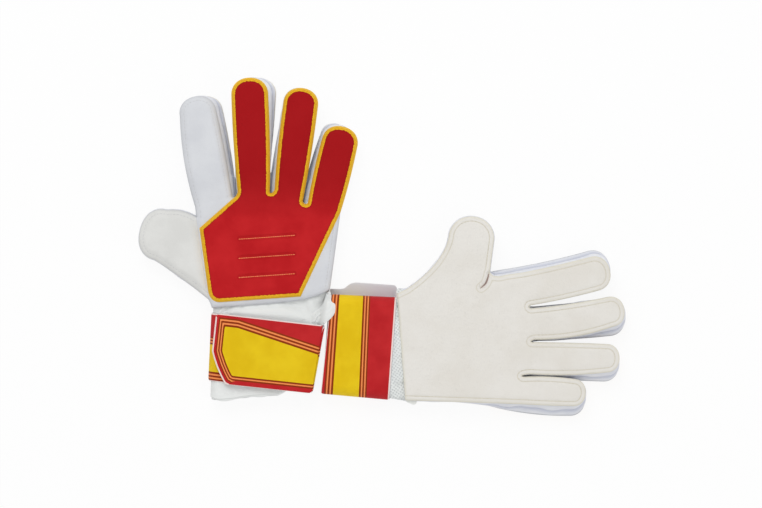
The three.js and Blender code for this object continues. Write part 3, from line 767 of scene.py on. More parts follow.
def index_outside(layer, seed):
    under = back_outside(layer, seed)
    digit = layer.digits["index"]
    foot, up = (digit.feet[0] + digit.feet[1]) / 2, layer.ups["index"]

    def height(p):
        along = np.clip((p - foot) @ up / 16, 0, 1)
        return under(p) + FIELD_RISE * ease(distance(p, layer.free) / 6) * along

    return height


def thumb_outside(layer, seed):
    def height(p):
        d = distance(p, layer.thumb_free)
        line = distance(p, [layer.thumb_line])
        rise = (HAND_SWELL + FIELD_RISE) * ease(d / 7) * (0.27 + 0.73 * ease(line / 7))
        z = EDGE_TOP - rounding(d, BACK_ROUND) + rise - 0.4 * furrow(d, SEW_IN, 0.5)
        return z + 0.25 * sway(p, 22, seed) * ease(d / 8) * ease(line / 5)

    return height


def back_inside(layer, free):
    def height(p):
        return BACK_LOW + 0.6 * rounding(distance(p, free), 1.0)

    return height


def lay_back(glove, part, outside, finish, free, edge_of=None):
    layer = glove.layers[BACK]
    loop = layer.parts[part]
    points, faces, tops = foam(loop, outside, back_inside(layer, free), BACK_RINGS)
    d = distance(points[:, :2], edge_of or free)
    d[tops:] = np.where(d[tops:] < 0.01, -0.2, -1.0)
    # tip carries the painted shade towards the fingertips, which red_foam reads.
    piece = make_piece(glove, f"{glove.side}_{part}_back_foam", points, faces, finish.material, edge=d / 1000,
                       tip=ease((points[:, 1] - 58) / 34))
    carry(glove, piece, part)
    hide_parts(f"{glove.side}_backhand" if part == "hand" else f"{glove.side}_{part}_back")


surfaces = {}
for side, glove in gloves.items():
    layer = glove.layers[BACK]
    seed = 21 if side == "right" else 34
    surfaces[side] = {"hand": back_outside(layer, seed), "index": index_outside(layer, seed),
                      "thumb": thumb_outside(layer, seed + 1), "palm": palm_outside(glove.layers[PALM], seed)}
    lay_back(glove, "hand", surfaces[side]["hand"], white_foam, layer.free)
    lay_back(glove, "index", surfaces[side]["index"], white_foam, layer.free)
    lay_back(glove, "thumb", surfaces[side]["thumb"], thumb_foam, layer.thumb_free)


# The red field: one cut of printed foam laminate that covers the back and runs on into three fingers. It
# has a slanted corner below the index finger and another at the wrist, and three pressed flex channels.
FIELD_SIDE = ((-48.7, 52.2), (-42.9, 10.0))
FIELD_CORNER = (-41.7, 1.9)
FIELD_FOOT = ((-34.5, 2.0), (20.0, 5.8))
FLEX = {"count": 3, "lowest": 20, "pitch": 13, "length": 40, "wide": 3.2, "x": -3, "turn": 4}
BORDER_WIDE = 2.5
FIELD_SUNK = 0.15


def field_lines(layer):
    """The border of the field on the hand, and the closed loop of the field there."""
    digits, crotches = layer.digits, layer.crotches
    corner = bezier_corner(FIELD_SIDE[1], FIELD_CORNER, FIELD_FOOT[0])
    little = digits["little"].feet[0]
    round_hand = joined(spaced([crotches["middle"][0][-1], FIELD_SIDE[0]]), spaced(FIELD_SIDE), corner,
                        spaced(FIELD_FOOT), spaced([FIELD_FOOT[1], little]))
    borders = [round_hand]
    loop = [round_hand]
    for name in RED_DIGITS[::-1]:
        digit = digits[name]
        loop.append(spaced(digit.feet))
        first, second, _ = crotches[name]
        arc = first if name == "middle" else joined(first, second)
        borders.append(arc)
        loop.append(arc)
    return borders, joined(*loop)[:-1]


def bezier_corner(a, control, b):
    a, control, b = (np.array(p, float) for p in (a, control, b))
    t = np.linspace(0, 1, 12)[:, None]
    return (1 - t) ** 2 * a + 2 * t * (1 - t) * control + t**2 * b


def flex_gap(p):
    """How far each point lies outside the nearest flex channel, negative within it."""
    reach = across(FLEX["turn"]) * (FLEX["length"] - FLEX["wide"]) / 2
    best = np.full(len(p), 1e9)
    for k in range(FLEX["count"]):
        middle = np.array((FLEX["x"], FLEX["lowest"] + k * FLEX["pitch"]))
        best = np.minimum(best, distance(p, [np.array((middle - reach, middle + reach))]))
    return best - FLEX["wide"] / 2


def flex_points():
    """Rows of points along the channels' edges."""
    found = []
    half = (FLEX["length"] - FLEX["wide"]) / 2
    for k in range(FLEX["count"]):
        middle = np.array((FLEX["x"], FLEX["lowest"] + k * FLEX["pitch"]))
        for gap in (-1.6, -0.75, -0.35, 0.0, 0.4, 0.9):
            radius = FLEX["wide"] / 2 + gap
            loop = []
            for end in (1, -1):
                centre = middle + across(FLEX["turn"]) * end * half
                for t in np.linspace(0, 180, 9 if radius > 0.1 else 1):
                    angle = math.radians(FLEX["turn"] + t - 90 * end)
                    loop.append(centre + radius * np.array((math.cos(angle), math.sin(angle))))
            found.append(spaced(closed(np.array(loop)), 0.9)[:-1])
    return found


def field_outside(layer, seed, all_borders):
    under = back_outside(layer, seed)

    def height(p):
        d = distance(p, all_borders)
        channel = ease((0.35 - flex_gap(p)) / 0.8)
        ridge = 0.2 * ease(d / 0.6) * ease((BORDER_WIDE + 0.4 - d) / 0.6)
        return under(p) + (FIELD_RISE * ease(d / 5.5) * (1 - 0.45 * channel) + ridge) + 0.12

    return height


red_foam = Finish("red_foam")
edge = red_foam.attribute("edge")
knit = red_foam.node("TexWave", {"wave_type": "BANDS", "bands_direction": "DIAGONAL"},
                     {"Vector": red_foam.place, "Scale": 620.0, "Distortion": 1.5, "Detail": 1.0}, "Fac")
cloud = red_foam.noise(0.02, 3, 0.55)
red = cloud.smooth(0.25, 0.75).mix(colour(188, 24, 30), colour(204, 36, 40))
red = (knit * 0.15).mix(red, colour(150, 14, 20))
# Painted shade: the red darkens towards the fingertips, by the tip attribute.
red = (red_foam.attribute("tip") * 0.8).mix(red, colour(160, 14, 20))
# Painted shade: the red darkens a little inside the pressed flex channels.
channel = red_foam.attribute("channel")
red = (channel * 0.1).mix(red, colour(140, 14, 20))
seam = edge.smooth(0.0038, 0.0026) * 0.35
yellow_print = (red_foam.noise(0.002)).mix(colour(236, 180, 24), colour(246, 200, 44))
teeth = red_foam.node("TexVoronoi", {}, {"Vector": red_foam.place, "Scale": 1100.0}, "Distance")
printed = (edge + teeth * 0.0006).smooth(0.00292, 0.00272).mix(seam.mix(red, colour(130, 18, 14)), yellow_print)
red_foam.wear(Base_Color=(edge < -0.00001).mix(printed, colour(206, 208, 212)),
              Roughness=0.78 + 0.15 * knit, Sheen_Weight=0.03, Specular_IOR_Level=0.12)
red_foam.bumps((red_foam.noise(0.004, 3, 0.6), 0.0002), (knit, 0.00006))

borders = {}
for side, glove in gloves.items():
    layer = glove.layers[BACK]
    seed = 21 if side == "right" else 34
    hand_borders, loop = field_lines(layer)
    all_borders = hand_borders + [layer.digits[name].outline for name in RED_DIGITS]
    borders[side] = (hand_borders, all_borders)
    top = field_outside(layer, seed, all_borders)
    under = back_outside(layer, seed)
    surfaces[side]["field"] = top
    points, faces, tops = foam(loop, top, lambda p: under(p) - FIELD_SUNK, BACK_RINGS, 1.5, flex_points())
    plan = points[:, :2]
    d = distance(plan, all_borders)
    d[tops:] = -0.2
    channel = ease((0.2 - flex_gap(plan)) / 0.5)
    # channel and tip carry the painted shade in the flex channels and towards the fingertips.
    piece = make_piece(glove, f"{side}_red_field", points, faces, red_foam.material, edge=d / 1000,
                       channel=channel, tip=ease((plan[:, 1] - 58) / 34))
    carry(glove, piece, "hand")
    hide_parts(f"{side}_back_panel")
    for name in RED_DIGITS:
        lay_back(glove, name, top, red_foam, layer.free, all_borders)


# The stitching: an embroidered yellow border sewn across the edge of the red field, orange thread along
# the flex channels, and pale running stitches that hold the palm, the back and the thumb to the gussets.
def stitch_tree():
    """Stitches laid along lines, each a slightly domed loop of thread."""
    tree = bpy.data.node_groups.new("stitches_along_a_seam", "GeometryNodeTree")
    sockets = (("Seam", "Geometry"), ("Pitch", "Float"), ("Along", "Float"), ("Across", "Float"),
               ("High", "Float"), ("Thread", "Material"))
    for name, kind in sockets:
        tree.interface.new_socket(name, in_out="INPUT", socket_type=f"NodeSocket{kind}")
    tree.interface.new_socket("Stitches", in_out="OUTPUT", socket_type="NodeSocketGeometry")
    add = tree.nodes.new
    link = tree.links.new
    given = add("NodeGroupInput").outputs
    line = add("GeometryNodeMeshToCurve")
    even = add("GeometryNodeResampleCurve")
    even.mode = "LENGTH"
    loop = add("GeometryNodeMeshIcoSphere")
    loop.inputs["Subdivisions"].default_value = 1
    loop.inputs["Radius"].default_value = 0.5
    soft = add("GeometryNodeSetShadeSmooth")
    shape = add("ShaderNodeCombineXYZ")
    sized = add("GeometryNodeTransform")
    up = add("GeometryNodeInputNamedAttribute")
    up.data_type = "FLOAT_VECTOR"
    up.inputs["Name"].default_value = "up"
    tangent = add("GeometryNodeInputTangent")
    turn = add("FunctionNodeAxesToRotation")
    turn.primary_axis = "Z"
    turn.secondary_axis = "X"
    uneven = add("FunctionNodeRandomValue")
    uneven.data_type = "FLOAT_VECTOR"
    uneven.inputs["Min"].default_value = (0.94, 0.9, 0.9)
    uneven.inputs["Max"].default_value = (1.06, 1.1, 1.1)
    uneven.inputs["Seed"].default_value = 7
    sewn = add("GeometryNodeInstanceOnPoints")
    real = add("GeometryNodeRealizeInstances")
    dyed = add("GeometryNodeSetMaterial")
    link(given["Seam"], line.inputs["Mesh"])
    link(line.outputs["Curve"], even.inputs["Curve"])
    link(given["Pitch"], even.inputs["Length"])
    for axis, name in zip("XYZ", ("Along", "Across", "High")):
        link(given[name], shape.inputs[axis])
    link(loop.outputs["Mesh"], soft.inputs["Geometry"])
    link(soft.outputs["Geometry"], sized.inputs["Geometry"])
    link(shape.outputs["Vector"], sized.inputs["Scale"])
    link(up.outputs["Attribute"], turn.inputs["Primary Axis"])
    link(tangent.outputs["Tangent"], turn.inputs["Secondary Axis"])
    link(even.outputs["Curve"], sewn.inputs["Points"])
    link(sized.outputs["Geometry"], sewn.inputs["Instance"])
    link(turn.outputs["Rotation"], sewn.inputs["Rotation"])
    link(uneven.outputs["Value"], sewn.inputs["Scale"])
    link(sewn.outputs["Instances"], real.inputs["Geometry"])
    link(real.outputs["Geometry"], dyed.inputs["Geometry"])
    link(given["Thread"], dyed.inputs["Material"])
    link(dyed.outputs["Geometry"], add("NodeGroupOutput").inputs["Stitches"])
    return tree


STITCHES = stitch_tree()


def grown(tree, name, source, **sizes):
    """The plain mesh that a Geometry Nodes tree makes of a source mesh."""
    holder = bpy.data.objects.new(name + "_source", source)
    bpy.context.scene.collection.objects.link(holder)
    modifier = holder.modifiers.new("shape", "NODES")
    modifier.node_group = tree
    sockets = {s.name: s.identifier for s in tree.interface.items_tree if s.in_out == "INPUT"}
    for key, value in sizes.items():
        modifier[sockets[key.replace("_", " ")]] = value
    ready = holder.evaluated_get(bpy.context.evaluated_depsgraph_get())
    mesh = bpy.data.meshes.new_from_object(ready)
    mesh.name = name
    bpy.data.objects.remove(holder)
    piece = bpy.data.objects.new(name, mesh)
    bpy.context.scene.collection.objects.link(piece)
    return piece


def sew(glove, name, part, seams, sizes, thread):
    """Stitches along seams, given as millimetre points with the way up at each."""
    points, ups, edges = [], [], []
    for line, up in seams:
        edges += [(len(points) + i, len(points) + i + 1) for i in range(len(line) - 1)]
        points.extend(line)
        ups.extend(up)
    source = bpy.data.meshes.new(name + "_seam")
    source.from_pydata(glove.place(points).tolist(), edges, [])
    made = source.attributes.new("up", "FLOAT_VECTOR", "POINT")
    made.data.foreach_set("vector", glove.direct(ups).astype(np.float32).ravel())
    pitch, along, wide, high = (s / 1000 for s in sizes)
    piece = grown(STITCHES, name, source, Pitch=pitch, Along=along, Across=wide, High=high, Thread=thread)
    carry(glove, piece, part)
    return piece


def beside(line, gap, lines, ends=0):
    """The line that runs a gap to the left of another, kept off all the given ones."""
    run = np.gradient(line, axis=0)
    inward = np.stack([-run[:, 1], run[:, 0]], 1) / np.maximum(np.linalg.norm(run, axis=1), 1e-9)[:, None]
    moved = line + inward * gap
    moved = moved[distance(moved, lines) > 0.93 * gap]
    return spaced(joined(moved), 0.5)


def on_face(line, height, lift, down=False):
    """A seam on a face given by its heights, with the way up at each point."""
    step = 0.3
    z = height(line)
    slopes = [(height(line + np.array(by)) - z) / step for by in ((step, 0), (0, step))]
    up = np.stack([-slopes[0], -slopes[1], np.ones(len(line))], 1)
    up /= np.linalg.norm(up, axis=1)[:, None]
    if down:
        up = -up
    return np.column_stack([line, z]) + up * lift, up


def thread(name, dye, worn):
    """Spun polyester thread, with its twist."""
    made = Finish(name)
    fray = made.noise(0.0012, 3, 0.6)
    made.wear(Base_Color=fray.smooth(0.3, 0.75).mix(dye, worn), Roughness=0.6 + 0.2 * fray, Sheen_Weight=0.1,
              Specular_IOR_Level=0.25)
    twist = made.node("TexWave", {"bands_direction": "DIAGONAL"}, {"Vector": made.place, "Scale": 1500.0})
    made.bumps((twist, 0.00005))
    return made.material


yellow_thread = thread("yellow_thread", colour(242, 188, 24), colour(250, 206, 52))
orange_thread = thread("orange_thread", colour(255, 132, 80), colour(255, 160, 112))
pale_thread = thread("pale_thread", colour(200, 201, 202), colour(218, 218, 218))
latex_thread = thread("latex_thread", colour(214, 208, 188), colour(226, 221, 206))
BORDER_STITCH = (0.56, 0.62, BORDER_WIDE, 0.5)  # pitch, along, across and high, in millimetres
SEAM_STITCH = (2.3, 2.0, 0.45, 0.42)
FLEX_STITCH = (1.5, 1.7, 0.75, 0.6)

for side, glove in gloves.items():
    back, palm = glove.layers[BACK], glove.layers[PALM]
    hand_borders, all_borders = borders[side]
    top = surfaces[side]["field"]
    middle = BORDER_WIDE / 2
    runs = {name: [back.digits[name].outline] for name in RED_DIGITS}
    runs["hand"] = hand_borders
    for part, lines in runs.items():
        seams = [on_face(beside(line, middle, all_borders), top, 0.05) for line in lines]
        sew(glove, f"{side}_{part}_border_stitches", part, seams, BORDER_STITCH, yellow_thread)
    channels = []
    for k in range(FLEX["count"]):
        mid = np.array((FLEX["x"], FLEX["lowest"] + k * FLEX["pitch"]))
        reach = across(FLEX["turn"]) * (FLEX["length"] - FLEX["wide"]) / 2
        channels.append(on_face(spaced([mid - reach, mid + reach], 1.0), top, 0.12))
    sew(glove, f"{side}_flex_stitches", "hand", channels, FLEX_STITCH, orange_thread)
    whites = {"index": [back.digits["index"].outline], "hand": [back.outer, back.index_side],
              "thumb": [back.thumb.outline]}
    for part, lines in whites.items():
        free = back.thumb_free if part == "thumb" else back.free
        seams = [on_face(beside(line, SEW_IN, free), surfaces[side][part], 0.02) for line in lines]
        sew(glove, f"{side}_{part}_back_stitches", part, seams, SEAM_STITCH, pale_thread)
    crease = curved(CREASE, 0.7, False)
    end, run = crease[-1], (crease[-1] - crease[-2]) / np.linalg.norm(crease[-1] - crease[-2])
    out = np.array((-run[1], run[0])) * SEW_IN
    turned = [end + out * math.cos(t) + run * SEW_IN * math.sin(t) for t in np.linspace(0, math.pi, 9)]
    round_crease = joined(beside(crease, SEW_IN, palm.sewn), turned, beside(crease[::-1], SEW_IN, palm.sewn))
    rows = {name: [palm.digits[name].sewn] for name in FINGERS}
    rows["hand"] = [palm.outer_low, palm.index_low[:-3]]
    rows["thumb"] = [palm.thumb.outline]
    for part, lines in rows.items():
        seams = []
        for line in lines:
            row = beside(line, SEW_IN, palm.sewn)
            seams.append(on_face(row, surfaces[side]["palm"], -0.06, True))
        if part == "hand":
            seams.append(on_face(round_crease, surfaces[side]["palm"], -0.06, True))
        sew(glove, f"{side}_{part}_palm_stitches", part, seams, SEAM_STITCH, latex_thread)


# The gussets: strips of pale knitted cloth sewn between the edges of the palm and the back, all round each
# digit and up both sides of the hand. They give the fingers their depth and lie in one lengthwise fold.
WALL_LOW = 3.9
WALL_TOP = 12.2
WALL_INSET = 0.8
WALL_ROWS = 10
CLOTH = 0.5

gusset_cloth = Finish("gusset_cloth")
ribs = gusset_cloth.node("TexWave", {"bands_direction": "Z"},
                         {"Vector": gusset_cloth.place, "Scale": 420.0, "Distortion": 0.6, "Detail": 1.0})
cloud = gusset_cloth.noise(0.018, 3, 0.6)
cloth = cloud.smooth(0.3, 0.7).mix(colour(230, 232, 239), colour(240, 241, 245))
cloth = (ribs * 0.2).mix(cloth, colour(212, 216, 230))
# Painted shade: the cloth turns blue-grey along the crease of its lengthwise fold, by the fold attribute.
fold = gusset_cloth.attribute("fold")
gusset_cloth.wear(Base_Color=(fold * 0.55).mix(cloth, colour(166, 173, 198)), Roughness=0.82, Sheen_Weight=0.3,
                  Specular_IOR_Level=0.25)
gusset_cloth.bumps((gusset_cloth.noise(0.005, 3, 0.6), 0.0004), (ribs, 0.00008))


def paired(lows, highs, step=1.2):
    """Two lines of as many points, matched run by run."""
    low_line, high_line = [], []
    for low, high in zip(lows, highs):
        length = max(np.linalg.norm(np.diff(line, axis=0), axis=1).sum() for line in (low, high))
        count = max(2, round(length / step) + 1)
        t = np.linspace(0, 1, count)
        for line, out in ((low, low_line), (high, high_line)):
            line = np.asarray(line, float)
            walked = np.concatenate([[0], np.cumsum(np.linalg.norm(np.diff(line, axis=0), axis=1))])
            at = t * walked[-1]
            points = np.stack([np.interp(at, walked, line[:, k]) for k in range(2)], 1)
            out.append(points if not out else points[1:])
    return np.concatenate(low_line), np.concatenate(high_line)


def outward(line):
    run = np.gradient(line, axis=0)
    return np.stack([run[:, 1], -run[:, 0]], 1) / np.maximum(np.linalg.norm(run, axis=1), 1e-9)[:, None]


def cloth_cut(piece, face, held, on, also=()):
    """Takes the diagonals of a cloth's outer face, given as rows of points in millimetres, and keeps nothing of them.
    """
    one, other = face[1:, 1:] - face[:-1, :-1], face[1:, :-1] - face[:-1, 1:]


def hang_wall(glove, name, part, low, high, replaced, seed, inset=WALL_INSET, swell=1.5, beyond=()):
    """A strip of cloth between two matched lines, folded once along its length, clear of strips beyond it."""
    low_in, high_in = low - outward(low) * inset, high - outward(high) * inset
    walked = np.concatenate([[0], np.cumsum(np.linalg.norm(np.diff(high_in, axis=0), axis=1))])
    ends = ease(np.minimum(walked, walked[-1] - walked) / 6)
    random = np.random.default_rng(seed)
    waves = sum(np.sin(walked * 2 * math.pi / random.uniform(14, 45) + random.uniform(0, 6)) for _ in range(4)) / 4
    grids = []
    shade = []
    for k, s in enumerate(np.linspace(0, 1, WALL_ROWS)):
        line = low_in * (1 - s) + high_in * s
        out = outward(line)
        at = 0.45 + 0.12 * waves * ends
        crease = np.exp(-(((s - at) / 0.13) ** 2))
        bulge = math.sin(math.pi * s) ** 0.55 * (swell + 0.35 * waves * ends) - 1.2 * crease
        if beyond:
            near = distance(line, [a * (1 - s) + b * s for a, b in beyond])
            bulge = np.minimum(bulge, near / 2 + inset - 0.2)
        z = np.full(len(line), WALL_LOW + (WALL_TOP - WALL_LOW) * s)
        face = np.column_stack([line + out * bulge[:, None], z])
        grids.append((face, face - np.column_stack([out * CLOTH, np.zeros(len(out))])))
        shade.append(crease)
    rows, columns = len(grids), len(low)
    points = np.concatenate([np.concatenate([g[0] for g in grids]), np.concatenate([g[1] for g in grids])])
    faces = []
    first = rows * columns
    for r in range(rows - 1):
        for c in range(columns - 1):
            a, b, d, e = r * columns + c, r * columns + c + 1, (r + 1) * columns + c + 1, (r + 1) * columns + c
            faces.append((a, b, d, e))
            faces.append((first + a, first + e, first + d, first + b))
    rim = [(0, c) for c in range(columns)] + [(r, columns - 1) for r in range(1, rows)]
    rim += [(rows - 1, c) for c in range(columns - 2, -1, -1)] + [(r, 0) for r in range(rows - 2, 0, -1)]
    for (r0, c0), (r1, c1) in zip(rim, rim[1:] + rim[:1]):
        a, b = r0 * columns + c0, r1 * columns + c1
        faces.append((b, a, first + a, first + b))
    # fold carries each row's crease for the painted shade in the fold.
    piece = make_piece(glove, name, points, faces, gusset_cloth.material, fold=np.concatenate(shade * 2))
    carry(glove, piece, part)
    cloth_cut(piece, np.array([g[0] for g in grids]), "stretched", [f"{glove.side}_{part}_latex"])
    if replaced:
        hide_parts(replaced)


for side, glove in gloves.items():
    palm, back = glove.layers[PALM], glove.layers[BACK]
    walls = {}
    for name in FINGERS:
        low, high = palm.digits[name], back.digits[name]
        before, right = split_at(high.right, BACK_SLIT)
        left, after = split_at(high.left, -BACK_SLIT)
        lows = (low.before, low.right, low.round, low.left, low.after)
        walls[name] = paired(lows, (before, right, high.round, left, after))
    for k, name in enumerate(FINGERS):
        others = [walls[other] for other in FINGERS if other != name]
        hang_wall(glove, f"{side}_{name}_gusset_cloth", name, *walls[name], f"{side}_{name}_gusset", 40 + k,
                  beyond=others)
    outline = palm.thumb.outline
    hang_wall(glove, f"{side}_thumb_gusset_cloth", "thumb", outline, outline, f"{side}_thumb_gusset", 47)
    outer = paired([palm.outer_low], [back.outer])
    hang_wall(glove, f"{side}_side_gusset_cloth", "hand", *outer, f"{side}_side_gusset", 48)
    web = paired([palm.index_low], [back.index_side])
    hang_wall(glove, f"{side}_web_gusset_cloth", "hand", *web, f"{side}_web_gusset", 49)
    heel = paired([palm.heel], [back.heel])
    hang_wall(glove, f"{side}_heel_gusset_cloth", "hand", *heel, None, 50)
    for name, (first, second, up) in back.crotches.items():
        foot = palm.crotch_feet[name]
        arc = joined(first, second)
        middle = arc.mean(0)
        near = foot + (arc - middle) * 0.3
        hang_wall(glove, f"{side}_{name}_crotch_cloth", "hand", near, arc, None, 51, 0.3, 0.8)


# The lining: two thin sheets of brushed cloth glued inside the palm and the back, which keep the foam off
# the hand. They are only seen through the cuff.
LINING = 0.7
LINING_INSET = 3.4
lining_cloth = Finish("lining_cloth")
nap = lining_cloth.noise(0.0012, 4, 0.7)
lining_cloth.wear(Base_Color=lining_cloth.noise(0.01).mix(colour(200, 203, 208), colour(214, 216, 220)),
                  Roughness=0.9, Sheen_Weight=0.4)
lining_cloth.bumps((nap, 0.0002))


def sheet_cut(points, faces, tops, turn):
    """Works out the size and area of the upper face of cloth cut to a loop, and keeps neither."""
    upper = points[:tops]
    size = [np.ptp(upper[:, :2] @ axis) / 1000 for axis in (across(turn), heading(turn))]
    corners = np.array([face for face in faces if len(face) == 3 and max(face) < tops])
    a, b, c = (points[corners[:, k]] for k in range(3))
    area = np.linalg.norm(np.cross(b - a, c - a), axis=1).sum() / 2e6


def shrunk(loop, gap):
    """A closed loop drawn in all round."""
    inward = -outward(closed(loop))[:-1]
    moved = loop + inward * gap
    return spaced(closed(joined(moved[distance(moved, [closed(loop)]) > 0.95 * gap])), 2.0)[:-1]


for side, glove in gloves.items():
    for which, low, name in ((PALM, 4.25, "palm"), (BACK, 11.05, "back")):
        loop = shrunk(glove.layers[which].parts["hand"], LINING_INSET)
        points, faces, tops = foam(loop, lambda p: low + LINING + 0.04 * sway(p, 12, 3),
                                   lambda p: np.full(len(p), low), (0.6,), 3.0)
        piece = make_piece(glove, f"{side}_{name}_lining_cloth", points, faces, lining_cloth.material)
        carry(glove, piece, "hand")
        sheet_cut(points, faces, tops, 0)
        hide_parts(f"{side}_{name}_lining")


# The cuff: a loose tube of smooth stretch cloth, seamed along both sides, which is sewn inside the wrist end
# of the hand and slips down between the strap and the hem. Its palm half is perforated for air.
WRIST = {
    "right": {"turn": -6.5, "x": -1.2, "strap": -9.7, "band": 46.1, "wide": 77.9, "narrow": 71.7, "skew": 0, "hem_in": 3.6,
              "hem": ((-36, 12.2), (-27, 13.4), (-18, 11.6), (-11, 9.4), (2, 6.8), (12.5, 5.4), (18, 1.0), (37, -1.5)),
              "seam": ((-40, -2), (39.1, 9.4)), "tongue": 74.2,
              "print": ((16.4, 0), (0.5, 0)),
              "cut": ((0.1, 20.3), (1.8, 15.9), (4.4, 10.3), (7.5, 4.8), (10.6, 0.3), (11.7, -0.7), (13.1, -1.1))},
    "left": {"turn": -4, "x": 1.4, "strap": -5.5, "band": 45.7, "wide": 70, "narrow": 68, "skew": 0.025, "hem_in": 2.1,
             "hem": ((-34, -1.5), (34, -1.5)), "seam": ((-40, -2.6), (36.4, 3.2)), "tongue": 78,
             "print": ((16.85, -0.042), (1.15, 0.03)),
             "cut": ((0, 17), (0.9, 14), (2.7, 11.6), (4.6, 9.6), (5.2, 7), (5.5, 0))},
}
BAND_THICK = 1.8
BAND_TOP = 15.3
CUFF_IN = 2.1  # of the cuff within the band
CUFF_LOW, CUFF_HIGH = 2.1, 13.2
TUCKED_LOW, TUCKED_HIGH = 4.3, 11.7  # where the cuff goes in between the palm and the back
HEM_WIDE = 3.6
CUFF_CLOTH = 0.8
CUFF_EASE = 0.045  # how much longer the cloth is than the way it spans
CUFF_FREE = 1.5  # how far its folds may stand off, in millimetres
CUFF_HELD = 0.15


class Wrist:
    """The wrist of a glove, which lies a little turned: x across it and y along it."""

    def __init__(self, side):
        given = WRIST[side]
        self.turn, self.x, self.skew = given["turn"], given["x"], given["skew"]
        self.strap, self.band, self.strap_end = given["strap"], given["band"], given["strap"] - given["band"]
        self.wide, self.narrow, self.tongue, self.cut = (given[key] for key in ("wide", "narrow", "tongue", "cut"))
        self.hem, self.hem_in, self.seam, self.print = (given[key] for key in ("hem", "hem_in", "seam", "print"))

    def at(self, x, y):
        return across(self.turn) * (self.x + x) + heading(self.turn) * y

    def half(self, y):
        return (self.wide + (self.narrow - self.wide) * (self.strap - y) / self.band) / 2

    def hem_at(self, x):
        """Where the lower edge of the hem lies across the wrist."""
        return self.strap_end - np.interp(x, *np.array(self.hem).T)


wrists = {side: Wrist(side) for side in gloves}


def oval_half(width, low, high, over, count):
    """Half of a flattened tube's section from its right end, over the top (1) or underneath (-1)."""
    radius = (high - low) / 2
    straight = max(width - 2 * radius, 0.1)
    whole = straight + math.pi * radius
    walked = np.linspace(0, whole, count)
    arc = math.pi * radius / 2
    first = np.clip(walked / radius, 0, math.pi / 2)
    last = np.clip((walked - arc - straight) / radius, 0, math.pi / 2)
    x = straight / 2 + radius * np.cos(first) - np.clip(walked - arc, 0, straight) - radius * np.sin(last)
    z = (low + high) / 2 + over * radius * np.where(walked < whole / 2, np.sin(first), np.cos(last))
    return np.stack([x, z], 1)


def two_faced(outer, inner):
    """A closed sheet between two grids of points, given row by row."""
    rows, columns = outer.shape[:2]
    points = np.concatenate([outer.reshape(-1, 3), inner.reshape(-1, 3)])
    first = rows * columns
    faces = []
    for r in range(rows - 1):
        for c in range(columns - 1):
            a = r * columns + c
            corners = (a, a + 1, a + columns + 1, a + columns)
            faces.append(corners)
            faces.append(tuple(first + i for i in corners[::-1]))
    rim = [(0, c) for c in range(columns)] + [(r, columns - 1) for r in range(1, rows)]
    rim += [(rows - 1, c) for c in range(columns - 2, -1, -1)] + [(r, 0) for r in range(rows - 2, 0, -1)]
    for (r0, c0), (r1, c1) in zip(rim, rim[1:] + rim[:1]):
        a, b = r0 * columns + c0, r1 * columns + c1
        faces.append((b, a, first + a, first + b))
    return points, faces


def thickened(grid, thick):
    """The inner face of a cloth whose outer face is a grid of points."""
    down = np.gradient(grid, axis=0)
    over = np.gradient(grid, axis=1)
    out = np.cross(down, over)
    out /= np.maximum(np.linalg.norm(out, axis=2), 1e-9)[..., None]
    return grid - out * thick


def settle(grid, held, free, longer):
    """Cloth simulated over a grid of points in millimetres, held where a mask says, with its moves capped."""
    rows, columns = grid.shape[:2]
    mesh = bpy.data.meshes.new("cloth")
    faces = [(r * columns + c, r * columns + c + 1, (r + 1) * columns + c + 1, (r + 1) * columns + c)
             for r in range(rows - 1) for c in range(columns - 1)]
    mesh.from_pydata((grid.reshape(-1, 3) / 100).tolist(), [], faces)
    cloth = bpy.data.objects.new("cloth", mesh)
    bpy.context.scene.collection.objects.link(cloth)
    pins = cloth.vertex_groups.new(name="pins")
    pins.add([int(i) for i in np.nonzero(held.ravel())[0]], 1.0, "REPLACE")
    modifier = cloth.modifiers.new("cloth", "CLOTH")
    modifier.settings.vertex_group_mass = "pins"
    modifier.settings.shrink_min = -longer
    modifier.settings.tension_stiffness = 12
    modifier.settings.compression_stiffness = 12
    modifier.settings.bending_stiffness = 0.35
    modifier.settings.quality = 6
    modifier.settings.effector_weights.gravity = 0
    modifier.collision_settings.use_collision = False
    modifier.point_cache.frame_end = 24
    for step in range(1, 25):
        bpy.context.scene.frame_set(step)
    ready = cloth.evaluated_get(bpy.context.evaluated_depsgraph_get())
    settled = np.array([v.co for v in ready.data.vertices]).reshape(grid.shape) * 100
    bpy.context.scene.frame_set(1)
    bpy.data.objects.remove(cloth)
    move = settled - grid
    far = np.linalg.norm(move, axis=2)
    return grid + move * (np.minimum(far, free) / np.maximum(far, 1e-9))[..., None]


cuff_cloth = Finish("cuff_cloth")
knit = cuff_cloth.node("TexWave", {"bands_direction": "Z"},
                       {"Vector": cuff_cloth.place, "Scale": 700.0, "Distortion": 0.8, "Detail": 1.0})
cloth = cuff_cloth.noise(0.02, 3, 0.55).smooth(0.3, 0.7).mix(colour(233, 235, 233), colour(240, 242, 240))
cuff_cloth.wear(Base_Color=(knit * 0.12).mix(cloth, colour(216, 220, 222)), Roughness=0.72, Sheen_Weight=0.3,
                Specular_IOR_Level=0.25)
cuff_cloth.bumps((cuff_cloth.noise(0.006, 3, 0.6), 0.00035), (knit, 0.00005))

cuff_mesh = Finish("cuff_mesh")
rows = cuff_mesh.node("Mapping", {}, {"Vector": cuff_mesh.place, "Rotation": (0, 0, 0.6)})
holes = cuff_mesh.node("TexVoronoi", {"voronoi_dimensions": "2D"},
                       {"Vector": rows, "Scale": 560.0, "Randomness": 0.12}, "Distance")
